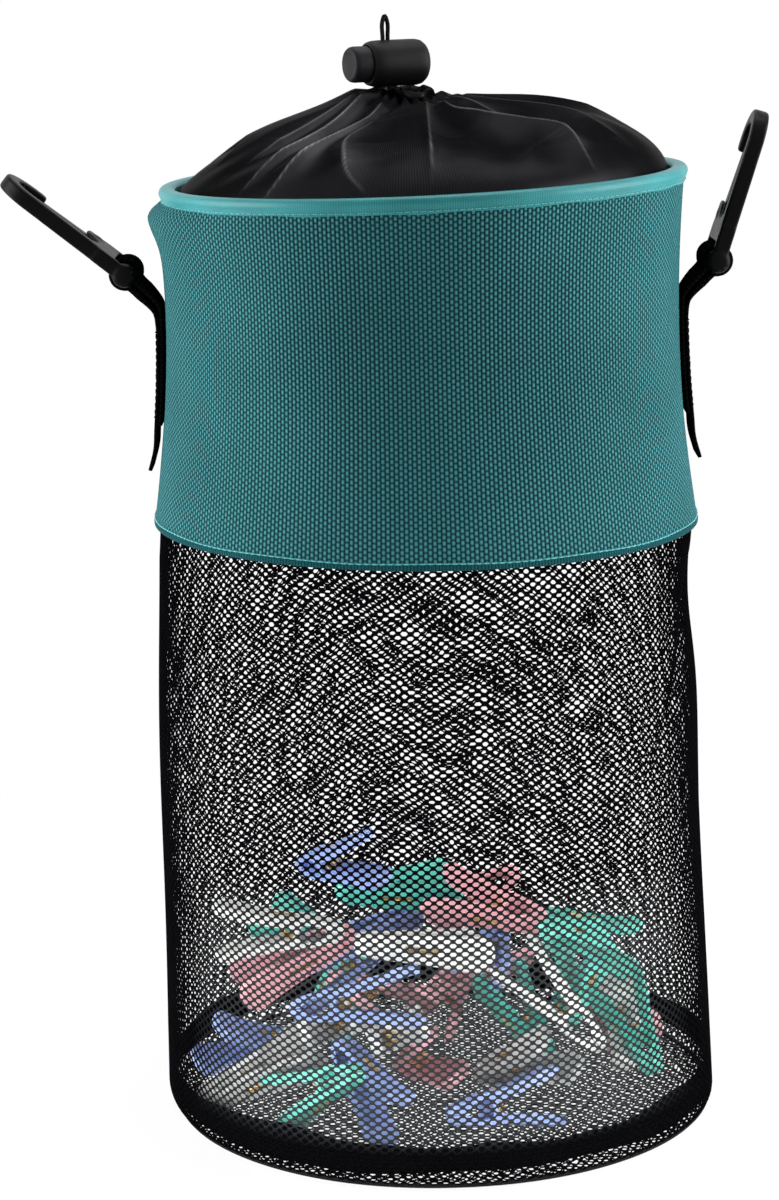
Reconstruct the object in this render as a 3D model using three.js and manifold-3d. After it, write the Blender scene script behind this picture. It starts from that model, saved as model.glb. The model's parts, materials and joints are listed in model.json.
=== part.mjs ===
// Peg bag: a round bag for laundry pegs, with a stiff band, a mesh wall, a gathered drawcord top
// and two side hooks, filled with spring pegs.
// Units are millimetres. The bag stands on z = 0, its axis is the Z axis and its front faces -Y.
import * as THREE from 'three';
import { mergeVertices } from 'three/addons/utils/BufferGeometryUtils.js';
import Module from 'manifold-3d';

const wasm = await Module();
wasm.setup();

// General
const fit = 0.3; // clearance between neighbouring pieces
const segments = 40; // facets round the bag

// Bag body
const rimRadius = 100; // outside of the rim binding
const rimHeight = 360; // top of the rim above the base
const bandHeight = 129; // rim to the band's lower edge
const seamRadius = 103; // outside of the band at its lower edge
const waistDepth = 4.4; // how far the band draws in at half height
const bandThickness = 1.4;
const stiffenerThickness = 1.2;
const liningThickness = 0.8;
const hemHeight = 3.4;
const hemThickness = 1.3;
const hemCorner = 0.5;
const baseRadius = 107; // outside of the mesh wall at the base
const meshThickness = 1.2;
const meshTuck = 10; // how far the mesh reaches up behind the band
const netRows = 3; // rows of openings in the mesh wall
const netOpenShare = 0.8; // an opening's height as a share of its row
const netFacets = 2; // facets across an opening, and across the mesh between two openings
const netMargin = 4; // plain mesh beside the tape and the hem
const baseUpturn = 12; // height of the base panel's turned-up edge
const baseCorner = 5;
const tapeBottom = 6.5;
const tapeTop = 20;
const tapeThickness = 1.1;

// Rim
const bindingThickness = 0.9;
const bindingHeight = 6;
const bindingCorner = 1.5;
const hoopRadius = 0.8; // half the wire's thickness

// Gathered top
const closureThickness = 1;
const closureSlack = 0.4; // from the rim binding to the closure's skirt
const skirtHeight = 6;
const domeHeight = 28;
const pleats = 10;
const pleatDepth = 2;
const neckOffset = -4; // the neck lies a little to the left of the bag's axis
const neckHeight = 5;
const neckWall = 1.1;

// Drawcord and its lock
const cordRadius = 0.8;
const cordRoom = 0.4; // clearance round the cord
const cordRing = 7.5; // radius of the cord's run in the neck channel
const strandSpacing = 2.1;
const bightHeight = 9.5; // cord standing above the lock
const exitAngle = THREE.MathUtils.degToRad(194);
const lockTurn = THREE.MathUtils.degToRad(208); // direction of the push button, seen from above
const lockGap = 3; // neck channel to barrel
const barrelRadius = 8.5;
const barrelLength = 24;
const barrelWall = 1.6;
const barrelEnd = 2.2;
const holeOffset = 4; // cord hole from the barrel's middle
const buttonReach = 7.4; // button standing out of the barrel
const buttonTravel = 4.5;
const springWire = 0.4; // half the wire's thickness
const springTurns = 4;

// Side tabs
const webbingWidth = 20;
const webbingThickness = 1.5; // one layer
const barReach = 13.5; // from the band to the hook's bar
const barDrop = 34; // bar below the rim
const loopRise = 1; // upper layer leaves the band this far below the bar
const loopSpread = 15; // distance between the layers where they meet the band
const tailDrop = 74; // tab's lower end below the bar
const tailFlare = 3.5; // how far the free end stands off
const tailLength = 16;

// Hooks
const hookThickness = 6;
const hookLength = 57; // bar to tip
const hookHalfWidth = 12.5;
const lineSeat = 36.5; // middle of the space for the line, from the bar
const hookWall = 5.5;
const eyeHalfWidth = 14;
const barRadius = 3;
const eyeSlot = 6.3; // bar to the far side of the eye
const bossEnd = 21; // top of the gate's pivot boss
const pivotAlong = 16;
const pivotAcross = 8;
const gateThickness = 2.6;
const gateEnd = 42.5;
const knuckleRadius = 3;
const pinRadius = 1.1;
const rightHookAngle = 72; // degrees above level
const leftHookAngle = 39;

// Pegs
const pegWidth = 14; // at the handles
const noseWidth = 8;
const noseReach = 22;
const handleReach = 30;
const handleSpread = 11.6; // half the height over both handles
const pegBody = 6.6; // half the height at the spring
const jawHeight = 4.6; // half the height behind the nose
const handleThickness = 3.8; // at its end
const jawThickness = 3.7; // above the window behind the nose
const ribThickness = 3.4; // between the coil and the window
const coilRadius = 2;
const coilWire = 0.3; // half the wire's thickness
const coilTurns = 3.5;
const coilHalfWidth = 3;
const springArm = 14; // from the coil to the end of an arm
const noseLength = 10; // from the nose back to the window
const handleStart = 6; // from the coil back to where the handles part
const jawOpening = 9; // how far the nose rises as a peg opens
const plainPegs = 31;
const openingPegs = 2;
const pegTrials = 4; // places tried for each plain peg
const openingTrials = 30; // places tried for each peg built to open
const heapShare = 0.42; // how far the drop narrows as the pile grows
const pileStart = 8000; // where the run of chance numbers begins
const pegColours = [0x3fb6a6, 0xd9979d, 0x8193c9, 0xd3d4d0];

// Derived sizes
const quarterTurn = Math.PI / 2;
const seamHeight = rimHeight - bandHeight;
const bandTopRadius = rimRadius - bindingThickness - fit;
const layers = bandThickness + fit + Math.max(stiffenerThickness, meshThickness) + fit + liningThickness;
const cavityTop = rimHeight - bindingThickness;
const hoopHeight = cavityTop - fit - hoopRadius;
const layerTop = hoopHeight - hoopRadius - fit;
const bindingInner = bandTopRadius - layers - fit - bindingThickness;
const neckRadius = cordRing + cordRadius + cordRoom + neckWall;
const neckTop = rimHeight + domeHeight + 1.5;
const cordLevel = neckTop - neckHeight / 2;
const barrelLevel = neckTop + lockGap + barrelRadius;
const boreRadius = barrelRadius - barrelWall;
const buttonRadius = boreRadius - fit;

// Geometry helpers
function lerp(a, b, share) {
  return a + (b - a) * share;
}

function steps(from, to, count) {
  return Array.from({ length: count + 1 }, (_, i) => lerp(from, to, i / count));
}

function tidy(geometry) {
  const bare = new THREE.BufferGeometry();
  bare.setAttribute('position', geometry.getAttribute('position').clone());
  bare.setIndex(geometry.index);
  const merged = mergeVertices(bare, 1e-4);
  const at = merged.getAttribute('position');
  const corner = (i) => new THREE.Vector3().fromBufferAttribute(at, i);
  const index = [];
  let volume = 0;
  for (let i = 0; i < merged.index.count; i += 3) {
    const [a, b, c] = [0, 1, 2].map((k) => merged.index.getX(i + k));
    if (a !== b && b !== c && c !== a) {
      index.push(a, b, c);
      volume += corner(a).dot(corner(b).cross(corner(c)));
    }
  }
  merged.setIndex(volume < 0 ? index.reverse() : index);
  return merged;
}

function toManifold(geometry) {
  const clean = tidy(geometry);
  const vertProperties = new Float32Array(clean.getAttribute('position').array);
  const triVerts = new Uint32Array(clean.index.array);
  return new wasm.Manifold(new wasm.Mesh({ numProp: 3, vertProperties, triVerts }));
}

function fromManifold(solid) {
  const mesh = solid.getMesh();
  const geometry = new THREE.BufferGeometry();
  geometry.setAttribute('position', new THREE.BufferAttribute(new Float32Array(mesh.vertProperties), 3));
  geometry.setIndex(new THREE.BufferAttribute(new Uint32Array(mesh.triVerts), 1));
  return geometry;
}

function cut(body, ...tools) {
  return fromManifold(tools.reduce((solid, tool) => solid.subtract(toManifold(tool)), toManifold(body)));
}

function join(body, ...others) {
  return fromManifold(others.reduce((solid, other) => solid.add(toManifold(other)), toManifold(body)));
}

// A closed profile of [radius, height] pairs turned about the Z axis.
function turned(profile, count = segments) {
  const points = [...profile, profile[0]].map(([r, z]) => new THREE.Vector2(r, z));
  return new THREE.LatheGeometry(points, count).rotateX(Math.PI / 2);
}

// A wall between two radius functions, with a row of corners at each height.
function wall(outer, inner, heights) {
  const up = heights.map((z) => [outer(z), z]);
  const down = heights.map((z) => [inner(z), z]).reverse();
  return turned([...up, ...down]);
}

// A wall of facets between two radius functions, without the facets that isOpen names by row and place.
function openWall(outer, inner, heights, isOpen) {
  const rows = heights.length - 1;
  const full = (row, k) => row >= 0 && row < rows && !isOpen(row, (k + segments) % segments);
  const corner = (row, radius, k) => {
    const angle = 2 * Math.PI * k / segments - quarterTurn;
    const reach = radius(heights[row]);
    return [reach * Math.cos(angle), reach * Math.sin(angle), heights[row]];
  };
  const positions = [];
  const quad = (a, b, c, d) => positions.push(...a, ...b, ...c, ...a, ...c, ...d);
  for (let row = 0; row < rows; row += 1) {
    for (let k = 0; k < segments; k += 1) {
      if (full(row, k)) {
        const [lowOut, nextLowOut] = [k, k + 1].map((i) => corner(row, outer, i));
        const [lowIn, nextLowIn] = [k, k + 1].map((i) => corner(row, inner, i));
        const [highOut, nextHighOut] = [k, k + 1].map((i) => corner(row + 1, outer, i));
        const [highIn, nextHighIn] = [k, k + 1].map((i) => corner(row + 1, inner, i));
        quad(lowOut, nextLowOut, nextHighOut, highOut);
        quad(nextLowIn, lowIn, highIn, nextHighIn);
        if (!full(row - 1, k)) {
          quad(lowIn, nextLowIn, nextLowOut, lowOut);
        }
        if (!full(row + 1, k)) {
          quad(highOut, nextHighOut, nextHighIn, highIn);
        }
        if (!full(row, k - 1)) {
          quad(lowIn, lowOut, highOut, highIn);
        }
        if (!full(row, k + 1)) {
          quad(nextLowOut, nextLowIn, nextHighIn, nextHighOut);
        }
      }
    }
  }
  const geometry = new THREE.BufferGeometry();
  geometry.setAttribute('position', new THREE.Float32BufferAttribute(positions, 3));
  return geometry;
}

function plate(outline, depth, holes = []) {
  const shape = new THREE.Shape(outline.map(([x, y]) => new THREE.Vector2(x, y)));
  shape.holes = holes.map((hole) => new THREE.Path(hole.map(([x, y]) => new THREE.Vector2(x, y))));
  return new THREE.ExtrudeGeometry(shape, { depth, bevelEnabled: false }).translate(0, 0, -depth / 2);
}

// A plate drawn in the XZ plane, its thickness along Y.
function sidePlate(outline, depth, holes = []) {
  return plate(outline, depth, holes).rotateX(Math.PI / 2);
}

function arc(centre, radius, from, to, count) {
  const [x, y] = centre;
  return steps(from, to, count).map((angle) => [x + radius * Math.cos(angle), y + radius * Math.sin(angle)]);
}

function tube(points, radius, sides, count) {
  const section = new THREE.Shape(arc([0, 0], radius, 0, 2 * Math.PI * (1 - 1 / sides), sides - 1)
    .map(([x, y]) => new THREE.Vector2(x, y)));
  const path = new THREE.CatmullRomCurve3(points);
  return new THREE.ExtrudeGeometry(section, { steps: count, extrudePath: path, curveSegments: 1 });
}

function box(low, high) {
  const size = high.map((value, i) => value - low[i]);
  const middle = high.map((value, i) => (value + low[i]) / 2);
  return new THREE.BoxGeometry(...size).translate(...middle);
}

const part = new THREE.Group();

function add(name, geometry, color, roughness, metalness = 0) {
  const material = new THREE.MeshStandardMaterial({ color, roughness, metalness });
  const mesh = new THREE.Mesh(tidy(geometry), material);
  mesh.name = name;
  part.add(mesh);
}

// Bag body
const bandRows = [seamHeight, ...steps(seamHeight + meshTuck, rimHeight, 4)];
const bandCorners = bandRows.map((z) => {
  const share = (rimHeight - z) / bandHeight;
  return lerp(bandTopRadius, seamRadius, share) - waistDepth * Math.sin(Math.PI * share);
});

function bandRadius(z) {
  const row = Math.max(bandRows.findIndex((edge) => z <= edge), 1);
  const share = (z - bandRows[row - 1]) / (bandRows[row] - bandRows[row - 1]);
  return lerp(bandCorners[row - 1], bandCorners[row], share);
}

function bandHeights(bottom) {
  return [bottom, ...bandRows.filter((z) => z > bottom + 1 && z < layerTop - 1), layerTop];
}

function meshRadius(z) {
  if (z >= seamHeight) {
    return bandRadius(z) - bandThickness - fit;
  }
  const share = (z - baseUpturn) / (seamHeight - baseUpturn);
  return lerp(baseRadius, seamRadius - bandThickness - fit, share);
}

const bandInner = (z) => bandRadius(z) - bandThickness;
const stiffenerOuter = (z) => bandInner(z) - fit;
const stiffenerInner = (z) => stiffenerOuter(z) - stiffenerThickness;
const liningInner = (z) => bandRadius(z) - layers;
const liningOuter = (z) => liningInner(z) + liningThickness;

add('band_shell', wall(bandRadius, bandInner, bandHeights(seamHeight)), 0x2f8d90, 0.6);
const stiffenerRows = bandHeights(seamHeight + meshTuck + fit);
add('band_stiffener', wall(stiffenerOuter, stiffenerInner, stiffenerRows), 0x8a8f90, 0.9);
add('band_lining', wall(liningOuter, liningInner, bandHeights(seamHeight)), 0x15171a, 0.8);

const hemInner = meshRadius(seamHeight - hemHeight) + fit;
const hemOuter = hemInner + hemThickness;
const hemTop = seamHeight - fit;
const hemBottom = hemTop - hemHeight;
add('band_hem', turned([
  [hemInner, hemBottom], [hemOuter - hemCorner, hemBottom], [hemOuter, hemBottom + hemCorner],
  [hemOuter, hemTop - hemCorner], [hemOuter - hemCorner, hemTop], [hemInner, hemTop],
]), 0x2a7f83, 0.6);

const meshInner = (z) => meshRadius(z) - meshThickness;
const netLow = tapeTop + netMargin;
const netRow = (seamHeight - hemHeight - netMargin - netLow) / netRows;
const netEdges = steps(0, netRows - 1, netRows - 1).flatMap((row) => [
  netLow + netRow * (row + (1 - netOpenShare) / 2), netLow + netRow * (row + (1 + netOpenShare) / 2),
]);
const meshRows = [baseUpturn + fit, ...netEdges, seamHeight, seamHeight + meshTuck];
const isNetOpening = (row, k) => row % 2 === 1 && row < 2 * netRows
  && (Math.floor(k / netFacets) + (row - 1) / 2) % 2 === 0;
add('mesh_wall', openWall(meshRadius, meshInner, meshRows, isNetOpening), 0x101113, 0.85);

const cornerMiddle = [baseRadius - baseCorner, baseCorner];
const basePanel = turned([
  [0, 0], ...arc(cornerMiddle, baseCorner, -quarterTurn, 0, 3),
  [baseRadius, baseUpturn], [baseRadius - meshThickness, baseUpturn],
  ...arc(cornerMiddle, baseCorner - meshThickness, 0, -quarterTurn, 3), [0, meshThickness],
]);
add('base_panel', basePanel, 0x131416, 0.85);

const tapeLow = baseRadius - meshThickness - fit;
const tapeHigh = meshRadius(tapeTop) - meshThickness - fit;
const baseTape = turned([
  [tapeLow, tapeBottom], [tapeHigh, tapeTop],
  [tapeHigh - tapeThickness, tapeTop], [tapeLow - tapeThickness, tapeBottom],
]);
add('base_tape', baseTape, 0x0d0d0e, 0.8);

// Rim
const legBottom = rimHeight - bindingHeight;
const legOuter = bandRadius(legBottom) + fit;
const legInner = liningInner(legBottom) - fit;
add('rim_binding', turned([
  [legOuter + bindingThickness, legBottom], [rimRadius, rimHeight - bindingCorner],
  [rimRadius - bindingCorner, rimHeight], [bindingInner + bindingCorner, rimHeight],
  [bindingInner, rimHeight - bindingCorner], [legInner - bindingThickness, legBottom],
  [legInner, legBottom], [bindingInner + bindingThickness, cavityTop],
  [rimRadius - bindingThickness, cavityTop], [legOuter, legBottom],
]), 0x35b5b3, 0.35);
const hoopMiddle = [bandTopRadius - layers / 2, hoopHeight];
add('rim_hoop', turned(arc(hoopMiddle, hoopRadius, 0, Math.PI * 5 / 3, 5)), 0xb9bcc0, 0.35, 1);

// Gathered top: a pleated dome with a short skirt inside the rim
const skirtRadius = legInner - bindingThickness - closureSlack;
const domeShares = [0.97, 0.9, 0.75, 0.55, 0.35, 0.2];
const domeLevel = (share) => rimHeight + domeHeight * (1 - share ** 1.8) ** 0.62;
const neckHole = neckRadius + fit;
const domeProfile = [
  [skirtRadius, rimHeight - skirtHeight], [skirtRadius, rimHeight],
  ...domeShares.map((share) => [skirtRadius * share, domeLevel(share)]), [neckHole, domeLevel(0)],
];

function offsetInward(profile, distance) {
  return profile.map(([r, z], i) => {
    const before = profile[Math.max(i - 1, 0)];
    const after = profile[Math.min(i + 1, profile.length - 1)];
    const run = [after[0] - before[0], after[1] - before[1]];
    const length = Math.hypot(...run);
    return [r - (distance * run[1]) / length, z + (distance * run[0]) / length];
  });
}

function pleated(profile, count) {
  const rows = [...profile, ...offsetInward(profile, closureThickness).reverse()];
  const positions = [];
  const index = [];
  rows.forEach(([r, z], row) => {
    const inward = (skirtRadius - r) / (skirtRadius - neckHole);
    for (let i = 0; i < count; i += 1) {
      const angle = (2 * Math.PI * i) / count;
      const swell = Math.sin(Math.PI * THREE.MathUtils.clamp(inward, 0, 1));
      const lift = pleatDepth * swell * Math.cos(pleats * angle);
      positions.push(r * Math.cos(angle) + neckOffset * inward, r * Math.sin(angle), z + lift);
      const next = (i + 1) % count;
      const above = ((row + 1) % rows.length) * count;
      const here = row * count;
      index.push(here + i, here + next, above + next, here + i, above + next, above + i);
    }
  });
  const geometry = new THREE.BufferGeometry();
  geometry.setAttribute('position', new THREE.Float32BufferAttribute(positions, 3));
  geometry.setIndex(index);
  return geometry;
}

add('closure_fabric', pleated(domeProfile, pleats * 4), 0x0b0b0d, 0.4);

const ringInner = cordRing - cordRadius - cordRoom;
const ringOuter = cordRing + cordRadius + cordRoom;
const neckBottom = neckTop - neckHeight;
const neckFloor = cordLevel - cordRadius - cordRoom;
add('neck_channel', turned([
  [ringInner - neckWall, neckBottom], [neckRadius, neckBottom], [neckRadius, neckTop], [ringOuter, neckTop],
  [ringOuter, neckFloor], [ringInner, neckFloor], [ringInner, neckTop], [ringInner - neckWall, neckTop],
], 24).translate(neckOffset, 0, 0), 0x0b0b0d, 0.5);

// Drawcord: both ends lie in the neck channel and its bight stands above the lock
const lockAxis = new THREE.Vector3(Math.cos(lockTurn), Math.sin(lockTurn), 0);

function onRing(angle, z) {
  return new THREE.Vector3(neckOffset + cordRing * Math.cos(angle), cordRing * Math.sin(angle), z);
}

const cordExit = onRing(exitAngle, 0);
const barrelBottom = barrelLevel - barrelRadius;
const bightLevel = barrelLevel + barrelRadius + bightHeight - cordRadius;

function strand(side) {
  const foot = cordExit.clone().addScaledVector(lockAxis, (side * strandSpacing) / 2);
  const run = steps(2.85, 0.75, 6).map((turn) => onRing(exitAngle + side * turn, cordLevel));
  const rise = [onRing(exitAngle + side * 0.36, cordLevel + 1.5)];
  const levels = [barrelBottom - 0.4, barrelBottom + 4, barrelLevel + 4, barrelLevel + barrelRadius + 1];
  const up = levels.map((z) => foot.clone().setZ(z));
  const bow = cordExit.clone().addScaledVector(lockAxis, side * strandSpacing * 0.56).setZ(bightLevel - 3);
  return [...run, ...rise, ...up, bow];
}

const cordPoints = [...strand(1), cordExit.clone().setZ(bightLevel), ...strand(-1).reverse()];

function leastSelfGap(points, radius) {
  const path = new THREE.CatmullRomCurve3(points);
  const spots = path.getSpacedPoints(300);
  const pitch = path.getLength() / 300;
  const apart = Math.ceil((Math.PI * radius * 2.5) / pitch);
  let least = Infinity;
  for (let i = 0; i < spots.length; i += 1) {
    for (let k = i + apart; k < spots.length; k += 1) {
      least = Math.min(least, spots[i].distanceTo(spots[k]) - 2 * radius);
    }
  }
  return least;
}

console.log('drawcord least self-gap mm', leastSelfGap(cordPoints, cordRadius).toFixed(2));
console.log('drawcord length mm', new THREE.CatmullRomCurve3(cordPoints).getLength().toFixed(0));
add('drawcord', tube(cordPoints, cordRadius, 6, 72), 0x141414, 0.8);

// Cord lock, drawn with the barrel's axis along X and the button towards +X
const lockMiddle = cordExit.clone().addScaledVector(lockAxis, -holeOffset).setZ(barrelLevel);

function atLock(geometry) {
  return geometry.rotateZ(lockTurn).translate(lockMiddle.x, lockMiddle.y, lockMiddle.z);
}

function alongX(profile, count) {
  return turned(profile, count).rotateY(Math.PI / 2);
}

const barrelHalf = barrelLength / 2;
const boreEnd = barrelEnd - barrelHalf;
const holeHalf = (strandSpacing + 2 * cordRadius) / 2 + cordRoom;
const holeDepth = cordRadius + cordRoom;
const barrel = alongX([
  [0, -barrelHalf], [barrelRadius - 2.6, -barrelHalf], [barrelRadius - 0.8, 0.8 - barrelHalf],
  [barrelRadius, 2.6 - barrelHalf], [barrelRadius, barrelHalf - 2.6], [barrelRadius - 0.6, barrelHalf - 0.6],
  [barrelRadius - 1.4, barrelHalf], [boreRadius, barrelHalf], [boreRadius, boreEnd], [0, boreEnd],
], 24);
const barrelHole = box(
  [holeOffset - holeHalf, -holeDepth, -2 * barrelRadius], [holeOffset + holeHalf, holeDepth, 2 * barrelRadius],
);
add('lock_barrel', atLock(cut(barrel, barrelHole)), 0x16171a, 0.5);

const buttonEnd = barrelHalf + buttonReach;
const buttonFoot = holeOffset - holeHalf - 4;
const button = alongX([
  [0, buttonFoot], [buttonRadius, buttonFoot], [buttonRadius, buttonEnd - 1.8],
  [buttonRadius - 0.6, buttonEnd - 0.6], [buttonRadius - 1.8, buttonEnd], [0, buttonEnd],
], 20);
const buttonSlot = box(
  [holeOffset - holeHalf, -holeDepth, -2 * barrelRadius],
  [holeOffset + holeHalf + buttonTravel, holeDepth, 2 * barrelRadius],
);
add('lock_button', atLock(cut(button, buttonSlot)), 0x1b1c1f, 0.5);

const springFrom = boreEnd + fit + springWire;
const springTo = buttonFoot - fit - springWire;
const springCoil = boreRadius - fit - 2.4;
const springPoints = steps(0, 1, springTurns * 8).map((share) => new THREE.Vector3(
  lerp(springFrom, springTo, share),
  springCoil * Math.cos(2 * Math.PI * springTurns * share),
  springCoil * Math.sin(2 * Math.PI * springTurns * share),
));
console.log('lock spring least self-gap mm', leastSelfGap(springPoints, springWire).toFixed(2));
add('lock_spring', atLock(tube(springPoints, springWire, 5, springTurns * 8)), 0xb9bcc0, 0.35, 1);

// Side tab, drawn on the right: webbing sewn flat to the band, its top folded round the hook's bar
const barHeight = rimHeight - barDrop;
const barMiddle = [bandRadius(barHeight) + barReach, barHeight];
const loopInner = barRadius + fit;
const loopOuter = loopInner + webbingThickness;
const skin = (z) => bandRadius(z) + fit;

// Points round the bar, from the lower tangent through the outer side to the upper tangent.
function loopRound(lower, upper, radius) {
  const aim = (point, side) => {
    const run = [barMiddle[0] - point[0], barMiddle[1] - point[1]];
    return Math.atan2(run[1], run[0]) + side * (Math.asin(radius / Math.hypot(...run)) + Math.PI / 2);
  };
  return arc(barMiddle, radius, aim(lower, -1), aim(upper, 1), 9);
}

function tabOutline() {
  const tailEnd = barHeight - tailDrop;
  const tailStart = tailEnd + tailLength;
  const upper = barHeight - loopRise;
  const lower = upper - loopSpread;
  const rows = steps(tailStart, lower, 4);
  const outside = rows.map((z) => [skin(z) + 2 * webbingThickness, z]);
  const inside = [...steps(upper, tailStart, 5)].map((z) => [skin(z), z]);
  const lowerPoint = outside[outside.length - 1];
  return [
    [skin(tailEnd) + tailFlare + webbingThickness, tailEnd], ...outside,
    ...loopRound(lowerPoint, inside[0], loopOuter), ...inside, [skin(tailEnd) + tailFlare, tailEnd],
  ];
}

function tabHole() {
  const middle = barHeight - loopRise - loopSpread / 2;
  const apex = [skin(middle) + 2 * webbingThickness, middle];
  return [apex, ...loopRound(apex, apex, loopInner)];
}

// Hook, drawn with the bar on the Y axis, the length along X and the spine towards -Y
const noseMiddle = hookLength - hookHalfWidth;
const hookInner = hookHalfWidth - hookWall;
const eyeInner = webbingWidth / 2 + 0.7;
const noseEnd = gateEnd - 2.5;
const crossEnd = eyeSlot + 5.7;
const hookOutline = [
  [-barRadius, -eyeHalfWidth], [-barRadius, -eyeInner], [eyeSlot, -eyeInner], [eyeSlot, eyeInner],
  [-barRadius, eyeInner], [-barRadius, eyeHalfWidth], [crossEnd, eyeHalfWidth], [crossEnd + 3, hookHalfWidth],
  [bossEnd, hookHalfWidth], [bossEnd, pivotAcross - knuckleRadius], [crossEnd + 4, 2], [crossEnd + 3, -2],
  [crossEnd + 6, -hookInner], ...arc([noseMiddle, 0], hookInner, -quarterTurn, quarterTurn, 7),
  [noseEnd, hookInner], [noseEnd, hookHalfWidth - 1.5], [noseEnd + 1.5, hookHalfWidth],
  ...arc([noseMiddle, 0], hookHalfWidth, quarterTurn, -quarterTurn, 9), [crossEnd + 3, -hookHalfWidth],
  [crossEnd, -eyeHalfWidth],
];
const slotHalf = gateThickness / 2 + fit;
const gateSlot = box(
  [crossEnd, pivotAcross - knuckleRadius - 2.6, -slotHalf], [bossEnd + 1, eyeHalfWidth + 1, slotHalf],
);

function pinRod(radius, length) {
  const rod = new THREE.CylinderGeometry(radius, radius, length, 12).rotateX(quarterTurn);
  return rod.translate(pivotAlong, pivotAcross, 0);
}

function hookBody() {
  const bar = new THREE.CylinderGeometry(barRadius, barRadius, 2 * eyeHalfWidth - 1, 8);
  const frame = cut(plate(hookOutline, hookThickness), gateSlot, pinRod(pinRadius + fit, 2 * hookThickness));
  return join(frame, bar);
}

function gateBody() {
  const knuckle = arc([pivotAlong, pivotAcross], knuckleRadius, 1.35, 2 * Math.PI - 1.75, 7);
  const tip = hookInner - fit - 0.5;
  const leaf = [...knuckle, [gateEnd - 1, tip - 3.2], [gateEnd, tip - 2.4], [gateEnd, tip]];
  return cut(plate(leaf, gateThickness), pinRod(pinRadius + fit, 2 * hookThickness));
}

function sideParts(side, mirror, angle) {
  const heading = mirror < 0 ? 180 - angle : angle;
  const atHook = (geometry) => geometry.rotateY(-THREE.MathUtils.degToRad(heading))
    .translate(mirror * barMiddle[0], 0, barMiddle[1]);
  const tab = sidePlate(tabOutline(), webbingWidth, [tabHole()]);
  add(`tab_${side}`, tab.scale(mirror, 1, 1), 0x17181b, 0.75);
  add(`hook_${side}`, atHook(hookBody()), 0x0c0d0f, 0.2);
  add(`gate_${side}`, atHook(gateBody()), 0x101113, 0.25);
  add(`gate_pin_${side}`, atHook(pinRod(pinRadius, hookThickness - 2 * fit)), 0xb9bcc0, 0.3, 1);
  const spots = atHook(new THREE.BufferGeometry().setFromPoints([
    new THREE.Vector3(), new THREE.Vector3(pivotAlong, pivotAcross, 0), new THREE.Vector3(lineSeat, 0, 0),
  ])).getAttribute('position').array;
  console.log(`hook_${side} bar, gate pivot, line seat`, Array.from(spots, (v) => v.toFixed(3)).join(' '));
}

sideParts('right', 1, rightHookAngle);
sideParts('left', -1, leftHookAngle);

// Pegs, drawn with the nose towards +X, the width along Y and the spring's coil on the Y axis
const coilRoom = coilRadius + coilWire + fit;
const windowTop = pegBody - jawThickness;
const windowBack = coilRoom + ribThickness;
const handleFoot = [-coilRoom - 0.4, coilRoom + 0.5];
const handleEnd = [0.4 - handleReach, handleSpread - handleThickness];
const upperEdge = [
  [noseReach, 1.5], [noseReach - 1.5, jawHeight - 1], [noseReach - 6, jawHeight],
  [windowBack + 2, pegBody - 0.4], [0, pegBody], [2 - handleReach, handleSpread],
  [-handleReach, handleSpread - 1.4], handleEnd, handleFoot,
];
const windowEdge = [
  [noseReach - 5, fit / 2], [noseReach - 7.5, windowTop - 1], [windowBack + 2, windowTop],
  [windowBack, windowTop - 1.3],
];
const flip = (points) => points.map(([x, z]) => [x, -z]).reverse();
const pegHalfWidth = (x) => lerp(noseWidth, pegWidth, (noseReach - x) / (noseReach + handleReach)) / 2;

// A side plate whose width grows from the nose to the handles.
function pegPlate(outline, holes = []) {
  const geometry = sidePlate(outline, 2, holes);
  const at = geometry.getAttribute('position');
  for (let i = 0; i < at.count; i += 1) {
    at.setY(i, at.getY(i) * pegHalfWidth(at.getX(i)));
  }
  return geometry;
}

function closedPeg() {
  const outline = [...upperEdge, [-coilRoom, 0], ...flip(upperEdge)];
  return pegPlate(outline, [[...windowEdge, ...flip(windowEdge)]]);
}

function pegLever(side) {
  const groove = arc([0, 0], coilRoom, Math.PI / 2, 0.12, 4);
  const outline = [
    [noseReach, fit / 2], ...upperEdge, ...groove, [coilRoom + 0.4, fit / 2], [windowBack, fit / 2],
    ...[...windowEdge].reverse(),
  ];
  return pegPlate(outline.map(([x, z]) => [x, side * z]));
}

function pegSpring() {
  const alongHandle = (springArm - coilRoom) / (handleReach - coilRoom);
  const armLevel = lerp(handleFoot[1], handleEnd[1], alongHandle) - fit - coilWire;
  const bendLevel = (armLevel + coilRadius) / 2;
  const turn = 2 * Math.PI * coilTurns;
  const coil = steps(0, 1, coilTurns * 8).map((share) => new THREE.Vector3(
    coilRadius * Math.sin(turn * share),
    lerp(coilHalfWidth, -coilHalfWidth, share),
    coilRadius * Math.cos(turn * share),
  ));
  const points = [
    new THREE.Vector3(-springArm, coilHalfWidth, armLevel),
    new THREE.Vector3(-springArm / 2, coilHalfWidth, bendLevel),
    ...coil,
    new THREE.Vector3(-springArm / 2, -coilHalfWidth, -bendLevel),
    new THREE.Vector3(-springArm, -coilHalfWidth, -armLevel),
  ];
  return tube(points, coilWire, 5, coilTurns * 8 + 4);
}

// Boxes that enclose a peg, by which the pile is built up
function pegBox(x, z, halfLength, halfHeight, lean = 0) {
  const axes = [
    new THREE.Vector3(Math.cos(lean), 0, Math.sin(lean)), new THREE.Vector3(0, 1, 0),
    new THREE.Vector3(-Math.sin(lean), 0, Math.cos(lean)),
  ];
  const halves = [halfLength, pegHalfWidth(x - halfLength), halfHeight];
  return { middle: new THREE.Vector3(x, 0, z), axes, halves };
}

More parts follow.
